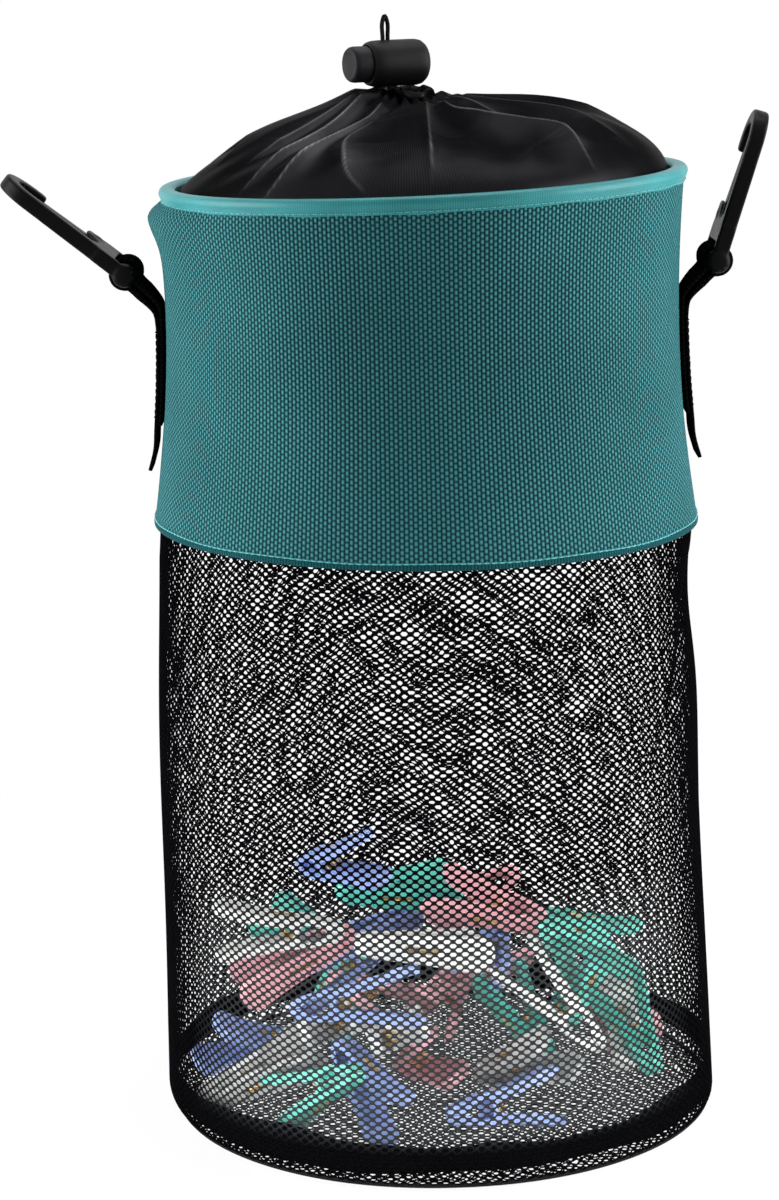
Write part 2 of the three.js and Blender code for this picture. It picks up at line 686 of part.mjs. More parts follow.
const handleRun = [handleReach - handleStart, handleSpread - pegBody - fit];
const handleLean = Math.atan2(handleRun[1], handleRun[0]);
const handleHalf = Math.hypot(...handleRun) / 2 + fit;
const handleX = (-handleReach - handleStart) / 2;
const handleZ = (handleSpread + 3) / 2;
const handleBox = (side) => pegBox(handleX, side * handleZ, handleHalf, 2.5, -side * handleLean);
const noseBox = pegBox(noseReach - noseLength / 2, 0, noseLength / 2, jawHeight + fit);
const bodyEnd = noseReach - noseLength;
const bodyBox = pegBox((bodyEnd - handleStart) / 2, 0, (bodyEnd + handleStart) / 2, pegBody + 0.1);
const pegBoxes = [noseBox, bodyBox, handleBox(1), handleBox(-1)];
const jawSweep = pegBox(noseReach / 2, jawOpening, noseReach / 2 + 1, jawHeight + fit);

function moved(shape, turn, shift) {
  const axes = shape.axes.map((axis) => axis.clone().applyQuaternion(turn));
  return { middle: shape.middle.clone().applyQuaternion(turn).add(shift), axes, halves: shape.halves };
}

function reachAlong(shape, direction) {
  return shape.axes.reduce((sum, axis, i) => sum + shape.halves[i] * Math.abs(axis.dot(direction)), 0);
}

// The height to which one box must be lifted to lie on another, or -Infinity if it passes by.
function liftOver(upper, lower, gap) {
  const between = upper.middle.clone().sub(lower.middle);
  const crossed = upper.axes.flatMap((a) => lower.axes.map((b) => a.clone().cross(b)));
  const directions = [...upper.axes, ...lower.axes, ...crossed.filter((n) => n.length() > 1e-3)];
  let low = -Infinity;
  let high = Infinity;
  for (const raw of directions) {
    const n = raw.clone().normalize();
    const room = reachAlong(upper, n) + reachAlong(lower, n) + gap;
    const offset = between.dot(n);
    if (Math.abs(n.z) < 1e-6) {
      if (Math.abs(offset) > room) {
        return -Infinity;
      }
    } else {
      low = Math.max(low, (-room * Math.sign(n.z) - offset) / n.z);
      high = Math.min(high, (room * Math.sign(n.z) - offset) / n.z);
    }
  }
  return low < high ? high : -Infinity;
}

function widestReach(shapes) {
  let widest = 0;
  for (const shape of shapes) {
    for (let i = 0; i < 8; i += 1) {
      const corner = shape.middle.clone();
      shape.axes.forEach((axis, k) => corner.addScaledVector(axis, shape.halves[k] * ((i >> k) & 1 ? 1 : -1)));
      widest = Math.max(widest, Math.hypot(corner.x, corner.y));
    }
  }
  return widest;
}

// A repeatable number from 0 to 1
function chance(seed) {
  const value = Math.sin(seed * 12.9898 + 4.1414) * 43758.5453;
  return value - Math.floor(value);
}

// How far a peg sinks from the place that its boxes allow until it lies on what is below.
function sinking(solid, others) {
  const search = 20;
  let sunk = 0;
  let gap = search;
  while (gap > fit + 0.02) {
    const here = solid.translate([0, 0, -sunk]);
    gap = Math.min(...others.map((other) => here.minGap(other, search)));
    sunk += gap - fit;
  }
  return sunk;
}

// Each peg is let down onto the base and the pegs below it, in the lowest of several trial places,
// the later ones nearer to the middle.
function pegPile() {
  const up = new THREE.Vector3(0, 0, 1);
  const one = new THREE.Vector3(1, 1, 1);
  const reach = tapeLow - tapeThickness - 2 * fit;
  const sweepSize = jawSweep.halves.map((value) => 2 * value);
  const sweepBox = new THREE.BoxGeometry(...sweepSize).translate(...jawSweep.middle);
  const lying = [];
  const solids = [toManifold(basePanel), toManifold(baseTape)];
  const places = [];
  for (let peg = 0; peg < plainPegs + openingPegs; peg += 1) {
    const opens = peg >= plainPegs;
    const shapes = opens ? [...pegBoxes, jawSweep] : pegBoxes;
    const spread = reach * (1 - heapShare * (peg / (plainPegs + openingPegs)) ** 2);
    let best = null;
    let found = 0;
    for (let trial = 0; found < (opens ? openingTrials : pegTrials); trial += 1) {
      const draw = (i) => chance(pileStart + peg * 97 + trial * 7 + i);
      const roll = opens ? 0 : (draw(0) - 0.5) * 2 * Math.PI;
      const tilt = (draw(1) - 0.5) * (opens ? 0.3 : 1.5);
      const lie = new THREE.Euler(roll, tilt, draw(2) * 2 * Math.PI, 'ZYX');
      const turn = new THREE.Quaternion().setFromEuler(lie);
      const out = Math.sqrt(draw(3)) * spread;
      const way = draw(4) * 2 * Math.PI;
      const spot = new THREE.Vector3(out * Math.cos(way), out * Math.sin(way), 0);
      const own = shapes.map((shape) => moved(shape, turn, spot));
      if (widestReach(own) < reach) {
        found += 1;
        const drop = Math.max(...own.map((shape) => reachAlong(shape, up) - shape.middle.z));
        const floor = drop + meshThickness + fit;
        const lift = own.reduce((top, shape) => lying.reduce(
          (height, other) => Math.max(height, liftOver(shape, other, fit)), top,
        ), floor);
        const summit = lift + Math.max(...own.map((shape) => shape.middle.z + reachAlong(shape, up)));
        if (best === null || summit < best.summit) {
          best = { turn, spot: spot.clone().setZ(lift), summit };
        }
      }
    }
    const place = new THREE.Matrix4().compose(best.spot, best.turn, one);
    const outer = opens ? join(closedPeg(), sweepBox) : closedPeg();
    const solid = toManifold(outer.applyMatrix4(place));
    const sunk = sinking(solid, solids);
    best.spot.z -= sunk;
    solids.push(solid.translate([0, 0, -sunk]));
    lying.push(...shapes.map((shape) => moved(shape, best.turn, best.spot)));
    places.push({ place: place.setPosition(best.spot), opens });
  }
  return places;
}

pegPile().forEach(({ place, opens }, i) => {
  const colour = pegColours[i % pegColours.length];
  if (!opens) {
    add(`peg_${String(i + 1).padStart(2, '0')}`, closedPeg().applyMatrix4(place), colour, 0.45);
    return;
  }
  const name = `opening_peg_${i - plainPegs + 1}`;
  const pivot = new THREE.Vector3().setFromMatrixPosition(place);
  const axis = new THREE.Vector3(0, 1, 0).transformDirection(place);
  const digits = (vector, count) => vector.toArray().map((value) => value.toFixed(count)).join(' ');
  console.log(name, 'pivot', digits(pivot, 3), 'axis', digits(axis, 5));
  add(`${name}_lower_lever`, pegLever(-1).applyMatrix4(place), colour, 0.45);
  add(`${name}_upper_lever`, pegLever(1).applyMatrix4(place), colour, 0.45);
  add(`${name}_spring`, pegSpring().applyMatrix4(place), 0xb08d3c, 0.35, 1);
});

let triangles = 0;
part.traverse((item) => {
  if (item.isMesh) {
    triangles += item.geometry.index.count / 3;
  }
});
const pileTop = Math.max(...part.children.filter((item) => item.name.includes('peg_')).map((item) => {
  item.geometry.computeBoundingBox();
  return item.geometry.boundingBox.max.z;
}));
console.log('top of the pegs', pileTop.toFixed(1));
console.log('triangles', triangles, 'nodes', part.children.length);

export default part;
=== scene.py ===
import bpy
import bmesh
import json
import math
import numpy as np
from mathutils import Matrix, Vector


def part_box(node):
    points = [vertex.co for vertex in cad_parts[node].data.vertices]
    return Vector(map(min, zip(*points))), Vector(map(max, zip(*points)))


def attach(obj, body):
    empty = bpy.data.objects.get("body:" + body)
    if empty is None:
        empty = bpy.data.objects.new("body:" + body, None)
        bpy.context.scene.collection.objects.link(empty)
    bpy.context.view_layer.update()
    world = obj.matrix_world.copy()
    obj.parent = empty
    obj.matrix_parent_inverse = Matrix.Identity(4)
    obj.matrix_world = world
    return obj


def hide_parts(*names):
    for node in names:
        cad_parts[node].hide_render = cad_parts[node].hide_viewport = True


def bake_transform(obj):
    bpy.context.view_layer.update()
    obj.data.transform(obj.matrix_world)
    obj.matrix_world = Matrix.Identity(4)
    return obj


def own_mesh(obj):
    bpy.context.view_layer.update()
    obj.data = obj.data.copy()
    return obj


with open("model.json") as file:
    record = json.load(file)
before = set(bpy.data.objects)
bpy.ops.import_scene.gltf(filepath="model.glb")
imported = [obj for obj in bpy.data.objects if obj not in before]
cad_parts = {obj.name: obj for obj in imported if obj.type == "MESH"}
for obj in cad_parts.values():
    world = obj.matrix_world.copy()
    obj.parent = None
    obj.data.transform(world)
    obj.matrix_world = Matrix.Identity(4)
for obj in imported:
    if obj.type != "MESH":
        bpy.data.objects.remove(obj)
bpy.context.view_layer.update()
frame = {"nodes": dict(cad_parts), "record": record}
scene = bpy.context.scene
scene.view_settings.view_transform = "Standard"
mm = 0.001
fullTurn = 2 * math.pi
print("frame:", len(frame["nodes"]), "nodes")

# camera at the photograph's angle, slightly above the rim and rolled a little
cameraSet = {"place": (-0.0147, -1.143, 0.449), "tilt": 77.6, "roll": -1.4, "lens": 91.4, "sensor": 36}
cameraData = bpy.data.cameras.new("camera")
cameraData.sensor_width = cameraSet["sensor"]
cameraData.lens = cameraSet["lens"]
camera = bpy.data.objects.new("camera", cameraData)
camera.matrix_world = (Matrix.Translation(cameraSet["place"])
                       @ Matrix.Rotation(math.radians(cameraSet["tilt"]), 4, "X")
                       @ Matrix.Rotation(math.radians(cameraSet["roll"]), 4, "Z"))
scene.collection.objects.link(camera)
scene.camera = camera
print("camera placed")


def tone(red, green, blue):  # screen colour 0 to 255 as a linear colour
    def line(level):
        level /= 255
        return level / 12.92 if level <= 0.04045 else ((level + 0.055) / 1.055) ** 2.4
    return (line(red), line(green), line(blue), 1.0)


def setSocket(tree, socket, value):  # links another socket, or sets a plain value
    if isinstance(value, bpy.types.NodeSocket):
        tree.links.new(value, socket)
    else:
        socket.default_value = value


def addNode(tree, kind, sockets, **settings):  # sockets: name or number to value, gives the outputs
    node = tree.nodes.new("ShaderNode" + kind)
    for label, value in settings.items():
        setattr(node, label, value)
    for label, value in sockets.items():
        setSocket(tree, node.inputs[label], value)
    return node.outputs


def mathNode(tree, operation, first, second=0.5):
    return addNode(tree, "Math", {0: first, 1: second}, operation=operation)[0]


def mixNode(tree, factor, first, second, blend="MIX"):
    return addNode(tree, "Mix", {0: factor, 6: first, 7: second}, data_type="RGBA", blend_type=blend)[2]


def spreadNode(tree, value, low, high):  # turns 0 to 1 into low to high
    return addNode(tree, "MapRange", {0: value, 3: low, 4: high})[0]


# studio: two long soft boxes at the sides, a soft one above, a narrow low one for the pegs, a pale floor
studio = {
    "ambient": 0.06, "floor": (0.86, 0.86, 0.86, 1), "floorReach": 30.0,
    "fade": (0.2, 0.75, 0.86, 1.0),  # nearest and furthest distance, share of plain white at each
    "lamps": [  # name, place, size, power, height aimed at, spread in degrees
        ("sideLeft", (-0.95, -0.12, 0.42), (0.7, 1.1), 20.0, 0.22, 180),
        ("sideRight", (0.95, -0.12, 0.42), (0.7, 1.1), 20.0, 0.22, 180),
        ("above", (0.15, 0.25, 1.25), (0.9, 0.4), 6.0, 0.22, 180),
        ("low", (0.0, -0.95, 0.30), (0.5, 0.1), 0.42, 0.03, 30)]}


def seenNode(tree):  # 1 for what the camera sees, also in a reflection or through glass
    rays = addNode(tree, "LightPath", {})
    seen = mathNode(tree, "MAXIMUM", rays["Is Camera Ray"], rays["Is Glossy Ray"])
    return mathNode(tree, "MAXIMUM", seen, rays["Is Transmission Ray"])


def mixSurface(tree, outKind, share, first, second):
    mixed = addNode(tree, "MixShader", {0: share, 1: first, 2: second})
    addNode(tree, outKind, {"Surface": mixed[0]})


def makeWorld(setup):
    world = bpy.data.worlds.new("studio")
    scene.world = world
    world.use_nodes = True
    tree = world.node_tree
    tree.nodes.clear()
    fill, white = [addNode(tree, "Background", {"Color": (1, 1, 1, 1), "Strength": strength})[0]
                   for strength in (setup["ambient"], 1.0)]
    mixSurface(tree, "OutputWorld", seenNode(tree), fill, white)


def makeLamps(setup):
    for name, place, size, power, aim, spread in setup["lamps"]:
        light = bpy.data.lights.new(name, "AREA")
        light.shape = "RECTANGLE"
        light.size, light.size_y = size
        light.energy = power
        light.spread = math.radians(spread)
        lamp = bpy.data.objects.new(name, light)
        lamp.location = place
        lamp.rotation_euler = (Vector((0, 0, aim)) - Vector(place)).to_track_quat("-Z", "Y").to_euler()
        scene.collection.objects.link(lamp)


def makeFloor(setup):
    reach = setup["floorReach"]
    floorMesh = bpy.data.meshes.new("floor")
    floorMesh.from_pydata([(-reach, -reach, 0), (reach, -reach, 0), (reach, reach, 0), (-reach, reach, 0)],
                          [], [(0, 1, 2, 3)])
    floor = bpy.data.objects.new("floor", floorMesh)
    scene.collection.objects.link(floor)
    paper = bpy.data.materials.new("floorPaper")
    paper.use_nodes = True
    tree = paper.node_tree
    tree.nodes.clear()
    diffuse = addNode(tree, "BsdfDiffuse", {"Color": setup["floor"]})
    glow = addNode(tree, "Emission", {"Strength": 1.0})
    spot = addNode(tree, "NewGeometry", {})["Position"]
    away = addNode(tree, "VectorMath", {0: spot}, operation="LENGTH")["Value"]
    fade = addNode(tree, "MapRange", {0: away, **dict(zip((1, 2, 3, 4), setup["fade"]))})
    share = mathNode(tree, "MULTIPLY", seenNode(tree), fade[0])  # the rest is the floor's own shading
    mixSurface(tree, "OutputMaterial", share, diffuse[0], glow[0])
    floorMesh.materials.append(paper)


makeWorld(studio)
makeLamps(studio)
makeFloor(studio)
print("studio lit")


def newGroup(name, values, results):  # each group takes coordinates and a few plain values
    group = bpy.data.node_groups.new(name, "ShaderNodeTree")
    group.interface.new_socket("Coordinates", in_out="INPUT", socket_type="NodeSocketVector")
    for label, value in values.items():
        socket = group.interface.new_socket(label, in_out="INPUT", socket_type="NodeSocketFloat")
        socket.default_value = value
    for label in results:
        group.interface.new_socket(label, in_out="OUTPUT", socket_type="NodeSocketFloat")
    return group, group.nodes.new("NodeGroupInput").outputs, group.nodes.new("NodeGroupOutput").inputs


def wovenRibs():  # upright ribs with cross bumps, every second rib part of a bump higher
    roundness, dip = 1.2, 0.1  # how narrow a crown is, how high the rib stays between two bumps
    group, given, result = newGroup(
        "wovenRibs", {"Rib Pitch": 0.00145, "Bump Pitch": 0.00095, "Stagger": 0.5}, ["Height", "Groove"])
    split = addNode(group, "SeparateXYZ", {0: given["Coordinates"]})
    ribs = mathNode(group, "DIVIDE", split[0], given["Rib Pitch"])
    bumps = mathNode(group, "DIVIDE", split[1], given["Bump Pitch"])
    odd = mathNode(group, "FLOORED_MODULO", mathNode(group, "FLOOR", ribs), 2.0)
    bumps = mathNode(group, "ADD", bumps, mathNode(group, "MULTIPLY", odd, given["Stagger"]))
    crowns = []
    for value in (ribs, bumps):
        inCell = mathNode(group, "SUBTRACT", mathNode(group, "FRACT", value), 0.5)
        swell = mathNode(group, "COSINE", mathNode(group, "MULTIPLY", inCell, math.pi))
        crowns.append(mathNode(group, "POWER", swell, roundness))
    bumped = mathNode(group, "ADD", mathNode(group, "MULTIPLY", crowns[1], 1 - dip), dip)
    height = mathNode(group, "MULTIPLY", crowns[0], bumped)
    setSocket(group, result["Height"], height)
    setSocket(group, result["Groove"], mathNode(group, "SUBTRACT", 1.0, height))
    return group


def softMottle():  # slow change of tone over the surface
    group, given, result = newGroup("softMottle", {"Scale": 60.0, "Low": 0.85, "High": 1.15}, ["Tone"])
    noise = addNode(group, "TexNoise", {
        "Vector": given["Coordinates"], "Scale": given["Scale"], "Detail": 4.0})
    setSocket(group, result["Tone"], spreadNode(group, noise["Fac"], given["Low"], given["High"]))
    return group


def mouldGrain():  # fine pebble of moulded plastic, and the gloss that goes with it
    patchScale = 0.12  # of the pebble's scale
    group, given, result = newGroup(
        "mouldGrain", {"Scale": 900.0, "Dull": 0.5, "Bright": 0.3}, ["Height", "Gloss"])
    cells = addNode(group, "TexVoronoi", {"Vector": given["Coordinates"], "Scale": given["Scale"]})
    noise = addNode(group, "TexNoise", {
        "Vector": given["Coordinates"], "Detail": 3.0,
        "Scale": mathNode(group, "MULTIPLY", given["Scale"], patchScale)})
    setSocket(group, result["Height"], cells["Distance"])
    setSocket(group, result["Gloss"], spreadNode(group, noise["Fac"], given["Dull"], given["Bright"]))
    return group


def edgeWear():  # painted highlight on the corners that stick out, broken up by noise
    group, given, result = newGroup("edgeWear", {"Start": 0.53, "End": 0.62}, ["Wear"])
    corner = addNode(group, "NewGeometry", {})["Pointiness"]
    edge = addNode(group, "MapRange", {0: corner, 1: given["Start"], 2: given["End"]})
    noise = addNode(group, "TexNoise", {"Vector": given["Coordinates"], "Scale": 350.0})
    setSocket(group, result["Wear"], mathNode(group, "MULTIPLY", edge[0], noise["Fac"]))
    return group


weaveGroup = wovenRibs()
mottleGroup = softMottle()
grainGroup = mouldGrain()
edgeHighlightGroup = edgeWear()


def placeGroup(tree, group, values):
    return addNode(tree, "Group", values, node_tree=group)


def newMaterial(name, shaderValues):
    material = bpy.data.materials.new(name)
    material.use_nodes = True
    tree = material.node_tree
    shader = tree.nodes["Principled BSDF"].inputs
    for label, value in shaderValues.items():
        shader[label].default_value = value
    return material, tree, shader, addNode(tree, "TexCoord", {})["Object"]


def addBump(tree, shader, height, look):
    bump = addNode(tree, "Bump", {"Strength": look["relief"], "Distance": look["depth"], "Height": height})
    setSocket(tree, shader["Normal"], bump[0])


# the band's cloth; the other cloths say where they differ, rib and bump are pitches in metres
tealLook = {"rib": 0.0016, "bump": 0.0021, "stagger": 0.5, "mottle": 26.0, "toneLow": 0.75, "toneHigh": 1.25,
            "sheen": 0.05, "sheenRough": 0.4, "specular": 0.02, "metal": 0.0, "edge": (1, 1, 1, 1),
            "dark": tone(3, 27, 34), "light": tone(70, 138, 142), "smooth": 0.45, "rough": 0.8,
            "depth": 0.0005, "relief": 0.8}


def clothMaterial(name, **changes):  # ribbed cloth on the map named cloth, in metres
    look = dict(tealLook, **changes)
    material, tree, shader, spot = newMaterial(name, {
        "Sheen Weight": look["sheen"], "Sheen Roughness": look["sheenRough"], "Sheen Tint": look["light"],
        "Specular IOR Level": look["specular"], "Metallic": look["metal"], "Specular Tint": look["edge"]})
    ribs = placeGroup(tree, weaveGroup, {
        "Coordinates": addNode(tree, "UVMap", {}, uv_map="cloth")[0], "Rib Pitch": look["rib"],
        "Bump Pitch": look["bump"], "Stagger": look["stagger"]})
    mottle = placeGroup(tree, mottleGroup, {
        "Coordinates": spot, "Scale": look["mottle"], "Low": look["toneLow"], "High": look["toneHigh"]})
    colour = mixNode(tree, ribs["Height"], look["dark"], look["light"])
    if "crest" in look:  # painted light: a paler tone where the painted-light mask says so
        mask = addNode(tree, "Attribute", {}, attribute_name="paintedLight")["Fac"]
        colour = mixNode(tree, mask, colour, look["crest"])
    setSocket(tree, shader["Base Color"], mixNode(tree, 1.0, colour, mottle["Tone"], "MULTIPLY"))
    setSocket(tree, shader["Roughness"], spreadNode(tree, ribs["Groove"], look["smooth"], look["rough"]))
    addBump(tree, shader, ribs["Height"], look)
    return material


bandCloth = clothMaterial("bandCloth")
trimTape = clothMaterial("trimTape", rib=0.0009, bump=0.0009, mottle=60.0, dark=tone(32, 112, 116),
                         light=tone(54, 144, 146), smooth=0.28, rough=0.45, specular=0.22,
                         depth=0.00012, relief=0.4)
hemTape = clothMaterial("hemTape", rib=0.0012, bump=0.0008, dark=tone(14, 50, 54), light=tone(34, 92, 98),
                        depth=0.0003)
liningCloth = clothMaterial("liningCloth", rib=0.0006, bump=0.0006, dark=tone(14, 16, 18),
                            light=tone(34, 37, 40), sheen=0.15, depth=0.00015)
# crest is a painted highlight along the fold crests of the satin
satin = clothMaterial("blackSatin", rib=0.00045, bump=0.0007, mottle=90.0, dark=tone(20, 20, 21),
                      light=tone(36, 36, 38), crest=tone(112, 112, 114), sheen=0.0, specular=0.0, metal=0.65,
                      edge=(0.35, 0.35, 0.35, 1), smooth=0.30, rough=0.46, depth=0.00006, relief=0.35)
webbing = clothMaterial("blackWebbing", rib=0.0019, bump=0.0011, dark=tone(5, 5, 6), light=tone(20, 20, 22),
                        sheen=0.0, specular=0.0)
tapeCloth = clothMaterial("baseTape", rib=0.001, bump=0.001, dark=tone(5, 5, 6), light=tone(14, 14, 16),
                          sheen=0.0, specular=0.0, depth=0.0002)
# crest here is painted light: the yarn in front of the pegs is paler
netYarn = clothMaterial("netYarn", rib=0.0005, bump=0.0005, mottle=120.0, dark=tone(4, 4, 5),
                        light=tone(13, 13, 15), crest=tone(46, 48, 50), sheen=0.0, specular=0.0,
                        depth=0.00008, relief=0.4)
cordBraid = clothMaterial("cordBraid", rib=0.0008, bump=0.0006, dark=tone(10, 10, 11),
                          light=tone(40, 41, 44), sheen=0.1, depth=0.0002)
thread = clothMaterial("sewingThread", rib=0.0004, bump=0.0004, dark=tone(70, 150, 152),
                       light=tone(140, 205, 205), depth=0.0001)
blackThread = clothMaterial("blackThread", rib=0.0004, bump=0.0004, dark=tone(16, 16, 18),
                            light=tone(58, 59, 62), depth=0.0001)
board = clothMaterial("stiffBoard", rib=0.0030, bump=0.0030, dark=tone(120, 118, 110),
                      light=tone(170, 168, 160), sheen=0.0, depth=0.0001)


def plasticMaterial(name, look):
    material, tree, shader, spot = newMaterial(name, {"Specular IOR Level": look["specular"]})
    grain = placeGroup(tree, grainGroup, {
        "Coordinates": spot, "Scale": look["grain"], "Dull": look["dull"], "Bright": look["bright"]})
    edgeHighlight = placeGroup(tree, edgeHighlightGroup, {
        "Coordinates": spot, "Start": look["highlightStart"], "End": look["highlightEnd"]})
    mottle = placeGroup(tree, mottleGroup, {
        "Coordinates": spot, "Scale": look["mottle"], "Low": 0.0, "High": 1.0})
    colour = mixNode(tree, mottle["Tone"], look["colour"], look["other"])
    # the corners get a paler tone: a painted highlight
    setSocket(tree, shader["Base Color"], mixNode(tree, edgeHighlight["Wear"], colour, look["highlightTone"]))
    setSocket(tree, shader["Roughness"], grain["Gloss"])
    addBump(tree, shader, grain["Height"], look)
    return material


# the highlight range and tone paint a paler highlight on the sharp corners of the plastics
mouldedLook = {"highlightStart": 0.52, "highlightEnd": 0.66, "depth": 0.00005, "relief": 0.35}
blackLook = dict(mouldedLook, grain=1300.0, mottle=160.0, colour=tone(9, 9, 10), other=tone(15, 15, 16),
                 highlightTone=tone(52, 53, 56), dull=0.58, bright=0.42, specular=0.09)
lockPlastic = plasticMaterial("lockPlastic", blackLook)
buttonPlastic = plasticMaterial("buttonPlastic", dict(
    blackLook, colour=tone(20, 20, 22), other=tone(28, 28, 30)))
hookPlastic = plasticMaterial("hookPlastic", dict(
    blackLook, colour=tone(6, 6, 7), other=tone(11, 11, 12), dull=0.42, bright=0.3, specular=0.05))
pegLook = dict(mouldedLook, grain=700.0, mottle=220.0, dull=0.5, bright=0.32, specular=0.5)
pegTones = {  # colour, its second tone, the painted highlight on the edges
    "mint": ((76, 178, 162), (92, 190, 174), (140, 206, 194)),
    "pink": ((208, 146, 154), (216, 160, 166), (226, 190, 194)),
    "blue": ((122, 144, 204), (138, 158, 212), (174, 188, 226)),
    "white": ((198, 198, 194), (206, 206, 203), (222, 222, 220))}
pegPlastic = {}
for label, (colour, other, highlightTone) in pegTones.items():
    pegPlastic[label] = plasticMaterial(label + "Plastic", dict(
        pegLook, colour=tone(*colour), other=tone(*other), highlightTone=tone(*highlightTone)))

wireLook = {"mottle": 700.0, "smooth": 0.25, "rough": 0.45, "depth": 0.00003, "relief": 0.5}


def wireMaterial(name, look, colour, other):
    material, tree, shader, spot = newMaterial(name, {"Metallic": 1.0})
    mottle = placeGroup(tree, mottleGroup, {
        "Coordinates": spot, "Scale": look["mottle"], "Low": 0.0, "High": 1.0})["Tone"]
    setSocket(tree, shader["Base Color"], mixNode(tree, mottle, colour, other))
    setSocket(tree, shader["Roughness"], spreadNode(tree, mottle, look["smooth"], look["rough"]))
    addBump(tree, shader, mottle, look)
    return material


steelWire = wireMaterial("steelWire", wireLook, tone(176, 178, 182), tone(206, 208, 210))
brassWire = wireMaterial("brassWire", wireLook, tone(196, 158, 96), tone(222, 188, 122))
print("materials mixed")

pointGap = 1e-6  # points nearer than this are one
threadGap = 1e-7  # the same for stitches and thin wire
holeSides = 64  # an open end with up to so many sides is closed


def quadMesh(name, points, quads, maps=None):  # maps: name to one pair for each corner of each quad
    mesh = bpy.data.meshes.new(name)
    mesh.vertices.add(len(points))
    mesh.vertices.foreach_set("co", np.asarray(points, np.float32).ravel())
    mesh.loops.add(quads.size)
    mesh.loops.foreach_set("vertex_index", quads.astype(np.int32).ravel())
    mesh.polygons.add(len(quads))
    mesh.polygons.foreach_set("loop_start", np.arange(0, quads.size, 4, dtype=np.int32))
    mesh.update(calc_edges=True)
    for label, pairs in (maps or {}).items():
        layer = mesh.uv_layers.new(name=label)
        layer.uv.foreach_set("vector", np.asarray(pairs, np.float32).ravel())
    mesh.validate()
    return mesh


def addMask(mesh, values):  # painted light mask, read by the cloth materials
    mask = mesh.attributes.new("paintedLight", "FLOAT", "POINT")
    mask.data.foreach_set("value", np.asarray(values, np.float32).ravel())


def gridMesh(name, grid, closeFirst=False, closeSecond=False, size=(1, 1), flip=False):
    first, second = grid.shape[:2]
    steps = (first if closeFirst else first - 1, second if closeSecond else second - 1)
    a, b = (part.ravel() for part in np.meshgrid(*(np.arange(count) for count in steps), indexing="ij"))
    nextA, nextB = (a + 1) % first, (b + 1) % second
    quads = np.stack([a * second + b, nextA * second + b, nextA * second + nextB, a * second + nextB], 1)
    pairs = np.stack([a, b, a + 1, b, a + 1, b + 1, a, b + 1], 1).reshape(-1, 4, 2).astype(float)
    pairs *= (size[0] / steps[0], size[1] / steps[1])
    if flip:
        quads, pairs = quads[:, ::-1], pairs[:, ::-1]
    return quadMesh(name, grid.reshape(-1, 3), quads, {"cloth": pairs})


def joinMeshes(name, meshes, slots=None):  # slots: the material number of each mesh
    joined = bmesh.new()
    for index, mesh in enumerate(meshes):
        before = len(joined.faces)
        joined.from_mesh(mesh)
        joined.faces.ensure_lookup_table()
        for face in joined.faces[before:]:
            face.material_index = slots[index] if slots else 0
    result = bpy.data.meshes.new(name)
    joined.to_mesh(result)
    joined.free()
    return result


def closeUp(mesh, gap=0.0, sides=0):  # joins near points, fills open ends, turns the faces out
    work = bmesh.new()
    work.from_mesh(mesh)
    if gap:
        bmesh.ops.remove_doubles(work, verts=work.verts, dist=gap)
    if sides:
        bmesh.ops.holes_fill(work, edges=work.edges, sides=sides)
    bmesh.ops.recalc_face_normals(work, faces=work.faces)
    work.to_mesh(mesh)
    work.free()
    return mesh


def addPiece(name, mesh, materials, body, replaced=(), sharp=None, matrix=None):
    for material in materials:
        mesh.materials.append(material)
    mesh.polygons.foreach_set("use_smooth", np.ones(len(mesh.polygons), bool))
    if sharp:
        mesh.set_sharp_from_angle(angle=math.radians(sharp))
    piece = bpy.data.objects.new(name, mesh)
    scene.collection.objects.link(piece)
    if matrix is not None:
        piece.matrix_world = matrix
    if body:
        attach(piece, body)
    if replaced:
        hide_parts(*replaced)
    return piece


def evenAngles(count):
    return np.linspace(0, fullTurn, count, endpoint=False)


def turnFrom(angle, middle):  # angle measured from middle, from minus to plus half a turn
    return (angle - middle + math.pi) % fullTurn - math.pi


def soften(value):  # 0 to 1 with soft ends
    value = np.clip(value, 0, 1)
    return value * value * (3 - 2 * value)


def hill(away, width):  # 1 in the middle, 0 far away
    return np.exp(-(away / width) ** 2)


def waves(angle, rows):  # rows: height, count in a turn, start
    return sum(height * np.sin(count * angle + start) for height, count, start in rows)


def smoothPath(points, count):  # evenly spaced points on a rounded line, and its length
    steps = 24  # from one given point to the next
    points = np.asarray(points, float)
    ends = [2 * points[0] - points[1], *points, 2 * points[-1] - points[-2]]
    dense = []
    for k in range(1, len(ends) - 2):
        p0, p1, p2, p3 = ends[k - 1:k + 3]
        for t in np.linspace(0, 1, steps, endpoint=False):
            dense.append(0.5 * (2 * p1 + (p2 - p0) * t + (2 * p0 - 5 * p1 + 4 * p2 - p3) * t ** 2
                                + (3 * p1 - p0 - 3 * p2 + p3) * t ** 3))
    dense.append(ends[-2])
    dense = np.array(dense)
    along = np.concatenate([[0], np.cumsum(np.linalg.norm(np.diff(dense, axis=0), axis=1))])
    wanted = np.linspace(0, along[-1], count)
    return np.stack([np.interp(wanted, along, dense[:, k]) for k in range(3)], 1), along[-1]


def tubeTip(point, ring, outward):  # two rings that round off an end, outward is one radius long
    shoulder = point + outward * 0.5 + 0.55 * (ring - point)
    return [shoulder, np.repeat((point + outward * 0.62)[None], len(ring), 0)]


